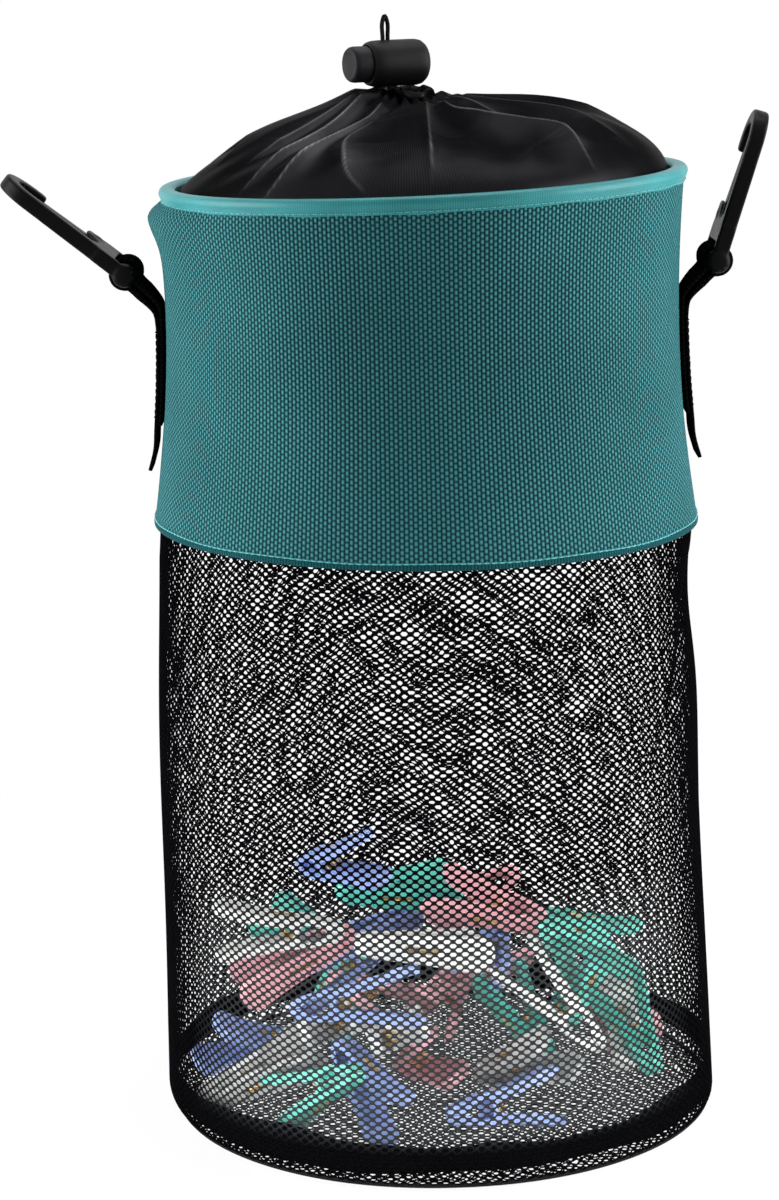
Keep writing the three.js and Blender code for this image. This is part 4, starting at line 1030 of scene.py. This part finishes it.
def makeClosure(setup):
    even = evenAngles(setup["columns"])[:, None]
    angle = even + setup["frontCrowd"] * np.cos(even)  # columns stand closer at the front
    share = (np.linspace(0, 1, setup["rows"]) ** setup["rowEase"])[None]
    cover, paintedShine = closurePlace(setup, angle, share)
    drops = np.linspace(*setup["skirt"])  # the sewn edge goes down inside the rim
    skirt = np.repeat(cover[:, :1], len(drops), 1)
    skirt[:, :, 2] += drops * mm
    top = np.concatenate([skirt, cover], 1)
    under = top.copy()
    under[:, :, 2] -= setup["thick"]
    under[:, :len(drops), :2] *= 1 - setup["thick"] / setup["edge"]
    grid = np.concatenate([top, under[:, ::-1]], 1)
    mesh = closeUp(gridMesh("closure_cloth", grid, True, True, (fullTurn * 0.06, 0.25)))
    # the painted highlight goes into the mask that the satin reads
    mask = np.zeros(grid.shape[:2])
    mask[:, len(drops):len(drops) + paintedShine.shape[1]] = paintedShine
    addMask(mesh, mask)
    piece = addPiece("closure_cloth", mesh, [satin], None, ("closure_fabric",))
    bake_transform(piece)


makeClosure(closureSet)

# the gathered neck round the cord, with one loose tuft of cloth at the front right
neckSet = {"columns": 320, "rows": 22, "lobes": 11, "low": 383.0 * mm, "radius": 8.8 * mm, "flare": 2.6 * mm,
           "pinch": 0.10, "ruffle": 0.35 * mm, "tuftAngle": 5.05, "tuftWide": 0.38, "tuftOut": 4.6 * mm,
           "highest": 394.0 * mm, "outerDrop": 3.2 * mm, "dropStart": 9.0 * mm, "dropLength": 4 * mm,
           "notch": 4.5 * mm, "notchWide": 0.42, "lockRadius": 8.8 * mm, "lockRoom": 0.1 * mm,
           "thick": 1.0 * mm, "plugRadius": 7.8 * mm, "plugDip": 2.2 * mm, "plugThick": 0.6 * mm}
# the cord lock: turned barrel and push button, both smooth, and the coil between them
lockSet = {
    "middle": (-7.745 * mm, 0.064 * mm, 401 * mm), "axis": (-0.88295, -0.46947, 0.0),
    "sides": 96, "sharp": 35,
    # pairs of radius and place along the axis, in mm
    "barrel": [(0.001, -12.0), (3.4, -11.97), (5.6, -11.7), (7.2, -11.0), (8.1, -9.8), (8.45, -8.2),
               (8.5, -6.0), (8.5, 0), (8.5, 7.0), (8.35, 9.6), (7.9, 11.2), (7.3, 11.95), (7.0, 12.0),
               (6.95, 11.2), (6.9, 6), (6.9, 0), (6.9, -6), (6.8, -9.6), (3.0, -9.8), (0.001, -9.8)],
    "button": [(0.001, 18.9), (2.0, 18.85), (4.2, 18.95), (4.9, 19.35), (5.3, 19.4), (5.9, 19.1), (6.4, 18.4),
               (6.6, 17.4), (6.6, 12), (6.6, 5), (6.6, -1.6), (6.0, -2.25), (0.001, -2.25)],
    "barrelSlot": (2.25, 4.0), "buttonSlot": (3.4, 6.25), "slotHalf": 1.2, "slotReach": 12,  # for the cord
    "springTurns": 4, "springEnds": (-9.1, -2.95), "springRadius": 4.2, "springWire": 0.4 * mm,
    "springSlot": "steel"}


def makeNeck(setup):
    angle = evenAngles(setup["columns"])[:, None]
    share = np.linspace(0, 1, setup["rows"])[None]
    lobes, low = setup["lobes"], setup["low"]
    ruffle = waves(angle, [(1.0, lobes, 1.5 * share), (0.5, 17, 1.0)])
    pinch = 1 - setup["pinch"] * np.sin(math.pi * np.clip(share * 1.3, 0, 1))
    tuft = hill(turnFrom(angle, setup["tuftAngle"]), setup["tuftWide"])
    radius = (setup["radius"] * pinch + setup["flare"] * share ** 2
              + setup["ruffle"] * ruffle * (0.5 + 0.5 * share) * (1 - 0.6 * tuft)
              + setup["tuftOut"] * tuft * np.sin(math.pi * np.clip(share * 0.9, 0, 1)) ** 0.8)
    centre = np.array((closureSet["neckX"], 0))
    x, y = centre[0] + radius * np.cos(angle), radius * np.sin(angle)
    (lockX, lockY, lockZ), (axisX, axisY, _) = lockSet["middle"], lockSet["axis"]
    off = (x - lockX) * axisY - (y - lockY) * axisX
    under = lockZ - np.sqrt(np.clip(setup["lockRadius"] ** 2 - off ** 2, 0, None))  # the barrel's underside
    outward = np.clip((radius - setup["dropStart"]) / setup["dropLength"], 0, 1)
    highest = (setup["highest"] - setup["outerDrop"] * outward
               - setup["notch"] * hill(turnFrom(angle, 0), setup["notchWide"]))
    top = np.minimum(under - setup["lockRoom"], highest)
    outside = np.stack([x, y, low + (top - low) * share], -1)
    inward = outside[:, ::-1].copy()
    flat = inward[:, :, :2] - centre
    size = np.linalg.norm(flat, axis=2, keepdims=True)
    inward[:, :, :2] = centre + flat * (size - setup["thick"]) / size
    inward[:, :3, 2] -= 0.3 * mm
    closeIn = np.linspace(0.92, 0.04, 9)[None]  # the bunched cloth closes the mouth under the cord
    bunch = setup["plugRadius"] * closeIn * (1 + 0.05 * np.sin(lobes * angle))
    level = (low - 0.4 * mm - setup["plugDip"] * (1 - closeIn)
             + 0.5 * mm * closeIn * np.sin(lobes * angle + 0.8))
    plug = np.stack([centre[0] + bunch * np.cos(angle), bunch * np.sin(angle), level], -1)
    below = plug[:, ::-1].copy()
    below[:, :, 2] -= setup["plugThick"]
    grid = np.concatenate([outside, inward, plug, below], 1)
    mesh = closeUp(gridMesh("neck_gather", grid, True, True, (0.06, 0.03)))
    addPiece("neck_gather", mesh, [satin], "closure", ("neck_channel",))


makeNeck(neckSet)
print("closure gathered")


def lathe(name, profile, sides, count=None):  # profile: pairs of radius and place along the axis, in mm
    line = np.array([(r, 0, x) for r, x in profile], float) * mm
    if count:
        line, _ = smoothPath(line, count)
    angle = evenAngles(sides)[:, None]
    radius, _, along = line.T[:, None]
    grid = np.stack([radius * np.cos(angle), radius * np.sin(angle), along + 0 * angle], -1)
    return closeUp(gridMesh(name, grid, True, False, (0.05, 0.05)), pointGap)


def applySteps(item, extra=()):  # the mesh with its modifiers done; item and the extra objects go
    bpy.context.view_layer.update()
    result = bpy.data.meshes.new_from_object(item.evaluated_get(bpy.context.evaluated_depsgraph_get()))
    for used in (item, *extra):
        bpy.data.objects.remove(used)
    return result


def asObject(name, mesh):
    item = bpy.data.objects.new(name, mesh)
    scene.collection.objects.link(item)
    return item


def cutBy(mesh, cutters):  # takes each cutter mesh out of mesh
    target = asObject("cutTarget", mesh)
    tools = [asObject("cutTool", cutter) for cutter in cutters]
    for tool in tools:
        step = target.modifiers.new("cut", "BOOLEAN")
        step.operation = "DIFFERENCE"
        step.solver = "EXACT"
        step.object = tool
    return applySteps(target, tools)


def roundOver(mesh, size, rounds):  # one moulded skin with soft edges
    lump = asObject("lump", mesh)
    step = lump.modifiers.new("skin", "REMESH")
    step.mode = "VOXEL"
    step.voxel_size = size
    step = lump.modifiers.new("soften", "SMOOTH")
    step.factor = 0.5
    step.iterations = rounds
    return applySteps(lump)


def boxMesh(low, high):
    (x0, y0, z0), (x1, y1, z1) = low, high
    corners = np.array([(x, y, z) for x in (x0, x1) for y in (y0, y1) for z in (z0, z1)]) * mm
    quads = np.array([(0, 1, 3, 2), (4, 6, 7, 5), (0, 4, 5, 1), (2, 3, 7, 6), (0, 2, 6, 4), (1, 5, 7, 3)])
    return quadMesh("cutter", corners, quads)


def slotMesh(halfWide, halfTall, reach, middle):  # rounded slot, wide along x, tall along y, through z
    flat = max(halfWide - halfTall, 0)
    ring = [(middle + math.copysign(flat, math.cos(a)) + halfTall * math.cos(a), halfTall * math.sin(a))
            for a in evenAngles(32)]
    grid = np.array([[(x * mm, y * mm, z * mm) for x, y in ring] for z in (-reach, reach)])
    return closeUp(gridMesh("slot", grid, False, True), sides=holeSides)


def makeLock(setup):
    along = Vector(setup["axis"]).normalized()
    side = Vector((0, 0, 1)).cross(along).normalized()  # local y, level
    place = Matrix.Translation(setup["middle"]) @ Matrix((
        (along.x, side.x, 0, 0), (along.y, side.y, 0, 0), (along.z, side.z, 1, 0), (0, 0, 0, 1)))
    stand = Matrix.Rotation(math.pi / 2, 4, "Y")  # lathe axis z becomes local x
    for name, form, plastic, body, node in (
            ("lock_body", "barrel", lockPlastic, "cord_lock", "lock_barrel"),
            ("lock_push", "button", buttonPlastic, "lock_button", "lock_button")):
        turned = lathe(name, setup[form], setup["sides"])
        turned.transform(stand)
        halfWide, middle = setup[form + "Slot"]
        turned = cutBy(turned, [slotMesh(halfWide, setup["slotHalf"], setup["slotReach"], middle)])
        addPiece(name, turned, [plastic], body, (node,), setup["sharp"], place)
    share = np.linspace(0, 1, 121)
    turn = fullTurn * setup["springTurns"] * share
    low, high = setup["springEnds"]
    coil = np.stack([low + (high - low) * share, setup["springRadius"] * np.cos(turn),
                     setup["springRadius"] * np.sin(turn)], 1) * mm
    mesh = closeUp(tubeMesh("lock_coil", coil, setup["springWire"], 8), pointGap)
    spring = addPiece("lock_coil", mesh, [steelWire], "cord_lock", ("lock_spring",),
                      None, place)
    bpy.context.view_layer.update()
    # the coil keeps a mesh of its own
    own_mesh(spring)


makeLock(lockSet)
print("cord lock made")

# webbing loops that carry the hooks, in mm: heights where the layers run, then rows of stitches
tabSet = {
    "width": 20.0, "layer": 1.4, "lift": 0.35, "bar": (110.283, 326.0), "loop": 4.05, "pinch": 1.6,
    "low": 252.0, "flare": 2.4, "lowStep": 8, "lowStepOut": 1.2, "outerHeights": (268.0, 282.0, 296.0, 306.0),
    "innerHeights": (309.0, 294.0, 280.0, 269.0), "foot": (313.0, 313.5), "bunch": 1.2, "bunchReach": 18.0,
    "crossRows": (272.0, 288.0, 304.0), "crossHalf": 7.5, "crossDash": (1.7, 0.12, 0.2), "crossOut": 0.28,
    "sideRows": (-8.2, 8.2), "sideHeights": (274.0, 304.0, 2.6), "sideDash": (1.8, 0.08, 0.16),
    "sideOut": 0.16, "bunchFade": 8.0, "wrap": 140}  # degrees round the bar to either side


def arcPoints(cx, cy, radius, start, end, count):  # angles in degrees
    return [(cx + radius * math.cos(math.radians(a)), cy + radius * math.sin(math.radians(a)))
            for a in np.linspace(start, end, count)]


def stripMesh(name, line, setup, sign):  # flat webbing along a line in the xz plane, width along y
    width, thick = setup["width"], setup["layer"]
    path, length = smoothPath([(x, 0, z) for x, z in line], 190)
    ahead = np.gradient(path, axis=0)
    ahead /= np.linalg.norm(ahead, axis=1)[:, None]
    across = np.stack([-ahead[:, 2], np.zeros(len(path)), ahead[:, 0]], 1)
    barX, barZ = setup["bar"]
    fromBar = np.hypot(path[:, 0] - barX, path[:, 2] - barZ)
    # bunched thicker near the bar
    swell = setup["bunch"] * np.clip((setup["bunchReach"] - fromBar) / setup["bunchFade"], 0, 1)
    half, edge = width / 2, thick / 2
    bend = [(-half + edge * 0.6, -edge), (-half, -edge * 0.4)]
    bend += [(w, -t) for w, t in bend[::-1]]
    ribs = np.linspace(-half + edge, half - edge, 11)[1:-1]
    ridge = [edge * (1.0 + 0.12 * (k % 2)) for k in range(len(ribs))]
    section = bend + list(zip(ribs, ridge)) + [(-w, t) for w, t in bend[::-1]]
    section += [(w, -t) for w, t in zip(ribs[::-1], ridge)]
    grid = np.array([[path[k] + across[k] * (t - (swell[k] if t < 0 else 0)) + np.array((0, w, 0))
                      for w, t in section] for k in range(len(path))]) * mm
    grid[:, :, 0] *= sign
    return closeUp(gridMesh(name, grid, False, True, (length * mm, 2 * width * mm)), sides=holeSides)


def dashMesh(middle, direction, dash, sign):  # one stitch that bows out a little, dash: length, bow, radius
    length, bow, radius = dash
    span = np.linspace(-0.5, 0.5, 5)[:, None]
    path = np.array(middle) + length * span * direction + bow * np.cos(math.pi * span) * (1, 0, 0)
    return tubeMesh("dash", path * mm * (sign, 1, 1), radius * mm, 6)


def makeTab(setup, label, sign):
    def skin(z):
        return float(bandRadius(z * mm)) / mm + setup["lift"]
    bar = np.array(setup["bar"])
    layer, loop, low = setup["layer"], setup["loop"], setup["low"]
    step = low + setup["lowStep"]
    lower = [(skin(z) + layer * 0.6 + out, z)
             for z, out in ((low, setup["flare"]), (step, setup["lowStepOut"]))]
    outerRun = [(skin(z) + 1.5 * layer + 0.1, z) for z in setup["outerHeights"]]
    footSkin, footHeight = setup["foot"]
    foot = np.array((skin(footSkin) + 2.2 * layer, footHeight))
    axis = (bar - foot) / np.linalg.norm(bar - foot)
    normal = np.array((-axis[1], axis[0]))
    pinch = bar - axis * (loop + setup["pinch"])
    heading = math.degrees(math.atan2(axis[1], axis[0]))
    outerRun += [tuple(foot - normal * layer * 0.6), tuple(pinch - normal * layer * 0.75)]
    turn = arcPoints(*bar, loop, heading - setup["wrap"], heading + setup["wrap"], 15)
    innerRun = [tuple(pinch + normal * layer * 0.75), tuple(foot + normal * layer * 1.2)]
    innerRun += [(skin(z) + 0.5 * layer, z) for z in setup["innerHeights"]]
    mesh = stripMesh("tab_webbing_" + label, lower + outerRun + turn + innerRun, setup, sign)
    addPiece("tab_webbing_" + label, mesh, [webbing], "bag", ("tab_" + label,), 50)
    dashes = []
    for z in setup["crossRows"]:
        for y in np.linspace(-setup["crossHalf"], setup["crossHalf"], 7):
            middle = (skin(z) + 2 * layer + setup["crossOut"], y, z)
            dashes.append(dashMesh(middle, (0, 1, 0), setup["crossDash"], sign))
    for y in setup["sideRows"]:
        for z in np.arange(*setup["sideHeights"]):
            middle = (skin(z) + 2 * layer + setup["sideOut"], y, z)
            dashes.append(dashMesh(middle, (0, 0, 1), setup["sideDash"], sign))
    stitches = closeUp(joinMeshes("tab_stitches_" + label, dashes), threadGap)
    addPiece("tab_stitches_" + label, stitches, [blackThread], "bag", ())


def plateMesh(name, outline, thick, bevel, segments=4):  # outline in xy, both faces rounded over
    work = bmesh.new()
    face = work.faces.new([work.verts.new((x * mm, y * mm, -thick / 2 * mm)) for x, y in outline])
    raised = bmesh.ops.extrude_face_region(work, geom=[face])["geom"]
    raised = [item for item in raised if isinstance(item, bmesh.types.BMVert)]
    bmesh.ops.translate(work, verts=raised, vec=(0, 0, thick * mm))
    bmesh.ops.recalc_face_normals(work, faces=work.faces)
    rims = [edge for edge in work.edges if abs(edge.verts[0].co.z - edge.verts[1].co.z) < 1e-7]
    bmesh.ops.bevel(work, geom=rims, offset=bevel * mm, segments=segments, profile=0.6, affect="EDGES",
                    clamp_overlap=True)
    mesh = bpy.data.meshes.new(name)
    work.to_mesh(mesh)
    work.free()
    return mesh


def roundedOutline(points, radius, steps=4):  # rounds every corner of an outline
    result = []
    for k in range(len(points)):
        before, here, after = (np.array(points[(k + d) % len(points)], float) for d in (-1, 0, 1))
        back, ahead = np.linalg.norm(before - here), np.linalg.norm(after - here)
        r = min(radius, 0.45 * back, 0.45 * ahead)
        a = here + (before - here) / back * r
        b = here + (after - here) / ahead * r
        for t in np.linspace(0, 1, steps):
            result.append(tuple((1 - t) ** 2 * a + 2 * t * (1 - t) * here + t ** 2 * b))
    return result


# the hooks, in mm from the bar: frame and eye, bill, pivot, shoulders of the bar, gate
hookSet = {
    "thick": 5.8, "bevel": 0.6, "grain": 0.42 * mm, "rounds": 22, "right": 72.0, "left": 141.0,
    "eye": [(-3, -14), (-3, -10.7), (6.3, -10.7), (6.3, 10.7), (-3, 10.7), (-3, 14), (12, 14), (15, 12.5),
            (21, 12.5), (21, 5), (16, 2), (15, -2), (18, -7)], "eyeRound": 1.6,
    "billX": 44.5, "billInner": 7, "billOuter": 12.5, "billTip": [(40, 7), (40, 11), (41.5, 12.5)],
    "shoulder": [(15, -12.5), (12, -14)], "shoulderRound": 1.0, "gateSlot": ((12, 2.4, -1.6), (22, 15, 1.6)),
    "barHalf": 13.2, "barRadius": 2.9, "pivot": (16, 8), "bossHeight": 3.35, "knuckle": 4.6,
    # shoulders where the bar meets the frame: how much slimmer than the knuckle, place along the bar
    "knob": [(0.8, 10.75), (0.1, 11.2), (0, 12.2), (0.3, 13.3), (1.2, 14.2), (2.6, 14.6)],
    "knobEnds": (10.75, 14.75), "boss": [(0.001, 0), (1.6, 0), (2.3, 0.15), (2.45, 0.5)],  # radius, drop
    "gateRadius": 3, "gateArc": (1.35, 1.75), "gateTip": [(41.5, 3.0), (42.5, 3.8), (42.5, 6.2)],
    "gateTipRound": 0.5, "gateThick": 2.6, "gateBevel": 0.5}


def makeHook(setup, label, sign):
    barX, barZ = tabSet["bar"]
    turn = math.radians(setup[label])
    place = Matrix.Translation((sign * barX * mm, 0, barZ * mm)) @ Matrix.Rotation(-turn, 4, "Y")
    outline = (roundedOutline(setup["eye"], setup["eyeRound"])
               + arcPoints(setup["billX"], 0, setup["billInner"], -90, 90, 17) + setup["billTip"]
               + arcPoints(setup["billX"], 0, setup["billOuter"], 90, -90, 25)
               + roundedOutline(setup["shoulder"], setup["shoulderRound"]))
    body = plateMesh("hook_body_" + label, outline, setup["thick"], setup["bevel"])
    body = cutBy(body, [boxMesh(*setup["gateSlot"])])
    barLine = [(0, y, 0) for y in np.linspace(-setup["barHalf"], setup["barHalf"], 12)]
    lumps = [body, closeUp(tubeMesh("bar", np.array(barLine) * mm, setup["barRadius"] * mm, 24), pointGap)]
    pivotX, pivotY = setup["pivot"]
    for side in (1, -1):  # round bosses over the gate's pin
        high = setup["bossHeight"]
        boss = lathe("boss", [(radius, side * (high - drop)) for radius, drop in setup["boss"]], 20)
        boss.transform(Matrix.Translation((pivotX * mm, pivotY * mm, 0)))
        lumps.append(boss)
    low, high = setup["knobEnds"]
    profile = [(setup["knuckle"] - slim, y) for slim, y in setup["knob"]]
    for side in (-1, 1):
        knob = lathe("shoulder", [(0.001, low), *profile, (0.001, high)], 32, 26)
        knob.transform(Matrix.Rotation(-side * math.pi / 2, 4, "X"))
        lumps.append(knob)
    mesh = roundOver(joinMeshes("hook_body_" + label, lumps), setup["grain"], setup["rounds"])
    addPiece("hook_body_" + label, mesh, [hookPlastic], label + "_hook", ("hook_" + label,),
             60, place)
    first, last = (math.degrees(angle) for angle in setup["gateArc"])
    knuckle = arcPoints(pivotX, pivotY, setup["gateRadius"], first, 360 - last, 24)
    tip = roundedOutline(setup["gateTip"], setup["gateTipRound"])
    leaf = plateMesh("gate_leaf_" + label, knuckle + tip, setup["gateThick"], setup["gateBevel"], 3)
    addPiece("gate_leaf_" + label, leaf, [hookPlastic], label + "_gate", ("gate_" + label,),
             38, place)


for label, sign in (("right", 1), ("left", -1)):
    makeTab(tabSet, label, sign)
    makeHook(hookSet, label, sign)
print("tabs and hooks made")

# the pegs, in mm: two levers with rounded handle ends, a wire coil between them, a hairpin in each face slot
pegSet = {
    "nose": 22.0, "noseWidth": 8.0, "handleWidth": 14.0, "length": 52.0, "sharp": 34,
    # the lever from the side: nose, back, handle end, underside, then the coil's seat and the jaw's window
    "back": [(22, 0.2), (22, 1.5), (20.5, 3.6), (16, 4.6), (8, 6.2), (0, 6.6), (-14, 9.1), (-28, 11.6),
             (-30, 10.2), (-29.6, 7.8), (-16, 5.4), (-3, 3.1)],
    "seatRadius": 2.65, "seatAngles": (88, 70, 52, 34, 18),
    "jaw": [(3.0, 0.2), (4.6, 0.2), (4.9, 2.2), (7.0, 4.0), (12.5, 3.3), (17.2, 0.2)],
    "across": (-1, -0.94, -0.8, -0.55, -0.28, 0, 0.28, 0.55, 0.8, 0.94, 1.0), "handleRound": 6.0,
    "noseRound": 1.8, "edgeDrop": 0.35, "backAbove": 3,
    "roundings": ((-18, 12), (16, 6), (0.8, 0.2)),  # start and length at the handle, the nose, the edges
    "cuts": [((-8.5, -1.25, 3.4), (4.0, 1.25, 14)), ((14.6, -1.3, 3.6), (17.4, 1.3, 9)),
             ((6.5, -3.2, 5.3), (8.3, -1.6, 9)), ((6.5, 1.6, 5.3), (8.3, 3.2, 9))],
    "wire": 0.38 * mm, "coil": 2.0, "coilTurns": 3.5, "coilHalf": 3.0,
    "pin": [(2.2, 0.62, 2.2), (3.2, 0.62, 5.2), (2.6, 0.62, 6.2), (-2, 0.62, 6.6), (-7.0, 0.6, 7.5),
            (-8.0, 0.0, 7.6), (-7.0, -0.6, 7.5), (-2, -0.62, 6.6), (2.6, -0.62, 6.2), (3.2, -0.62, 5.2),
            (2.2, -0.62, 2.2)]}


def leverMesh(setup):
    seat = [arcPoints(0, 0, setup["seatRadius"], angle, angle, 1)[0] for angle in setup["seatAngles"]]
    taper = setup["handleWidth"] - setup["noseWidth"]

    def spot(share, x, z):  # both ends are rounded across, the edges of the back are a little lower
        half = 0.5 * (setup["noseWidth"] + taper * (setup["nose"] - x) / setup["length"])
        curve = 1 - math.sqrt(max(0, 1 - (share * 0.985) ** 2))
        (handle, handleFade), (nose, noseFade), (edge, edgeWide) = setup["roundings"]
        shift = setup["handleRound"] * curve * max(0, min(1, (handle - x) / handleFade)) ** 1.5
        back = setup["noseRound"] * curve * max(0, min(1, (x - nose) / noseFade))
        lower = setup["edgeDrop"] * max(0, abs(share) - edge) / edgeWide if z > setup["backAbove"] else 0
        return (x + shift - back, share * half, z - lower)
    profile = setup["back"] + seat + setup["jaw"]
    rows = np.array([[spot(share, x, z) for x, z in profile] for share in setup["across"]]) * mm
    mesh = closeUp(gridMesh("lever", rows, False, True), sides=holeSides)
    return cutBy(mesh, [boxMesh(low, high) for low, high in setup["cuts"]])


def springMesh(setup):
    share = np.linspace(0, 1, 90)
    turn = setup["coilTurns"] * fullTurn * share + math.pi
    coil = np.stack([setup["coil"] * np.cos(turn), setup["coilHalf"] * (1 - 2 * share),
                     setup["coil"] * np.sin(turn)], 1)
    meshes = [tubeMesh("coil", coil * mm, setup["wire"], 7)]
    for side in (-1, 1):  # hairpins that lie in the face slots
        path, _ = smoothPath([(x, y, side * z) for x, y, z in setup["pin"]], 60)
        meshes.append(tubeMesh("pin", path * mm, setup["wire"], 7))
    return closeUp(joinMeshes("spring", meshes), threadGap)


upperLever = leverMesh(pegSet)
lowerLever = upperLever.copy()
lowerLever.transform(Matrix.Scale(-1, 4, (0, 0, 1)))
lowerLever.flip_normals()
pegSpring = springMesh(pegSet)
pegSlots = {row["node"]: row["material_slot"] for row in frame["record"]["subparts"]}


def nodePoints(name):
    mesh = frame["nodes"][name].data
    points = np.empty(len(mesh.vertices) * 3, np.float32)
    mesh.vertices.foreach_get("co", points)
    return np.unique(np.round(points.reshape(-1, 3).astype(float), 6), axis=0)


def pegPlace(*names):  # the peg's own axes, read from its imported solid
    endLength = 6 * mm
    points = np.concatenate([nodePoints(name) for name in names])
    _, axes = np.linalg.eigh(np.cov((points - points.mean(0)).T))
    order = np.argsort(np.ptp(points @ axes, axis=0))[::-1]
    along, up = axes[:, order[0]], axes[:, order[1]]
    run, rise = points @ along, points @ up
    if np.ptp(rise[run > run.max() - endLength]) > np.ptp(rise[run < run.min() + endLength]):
        along, run = -along, -run  # the nose is the narrow end
    if len(names) > 1 and (nodePoints(names[1]).mean(0) - nodePoints(names[0]).mean(0)) @ up < 0:
        up, rise = -up, -rise
    across = np.cross(up, along)
    aside = points @ across
    origin = (along * (run.max() - pegSet["nose"] * mm) + up * (rise.max() + rise.min()) / 2
              + across * (aside.max() + aside.min()) / 2)
    place = Matrix.Identity(4)
    for k in range(3):
        place[k] = (along[k], across[k], up[k], origin[k])
    return place


def makePegs(setup):
    whole = joinMeshes("peg", [upperLever, lowerLever, pegSpring], [0, 0, 1])
    for name in sorted(name for name in frame["nodes"] if name.startswith("peg_")):
        colour = pegSlots[name]
        addPiece(name + "_moulded", whole.copy(), [pegPlastic[colour], brassWire], "bag", (name,),
                 setup["sharp"], pegPlace(name))
    for base in ("opening_peg_1", "opening_peg_2"):
        lowerNode, upperNode = base + "_lower_lever", base + "_upper_lever"
        place = pegPlace(lowerNode, upperNode)
        colour = pegSlots[upperNode]
        lower = joinMeshes(base + "_lower", [lowerLever, pegSpring], [0, 1])
        addPiece(base + "_lower", lower, [pegPlastic[colour], brassWire], "bag",
                 (lowerNode, base + "_spring"), setup["sharp"], place)
        addPiece(base + "_upper", upperLever.copy(), [pegPlastic[colour]], base, (upperNode,),
                 setup["sharp"], place)


makePegs(pegSet)
print("pegs piled")

for name in ("gate_pin_right", "gate_pin_left"):  # solids that keep their own shape get a finish
    pin = frame["nodes"][name].data
    pin.materials.clear()
    pin.materials.append(steelWire)
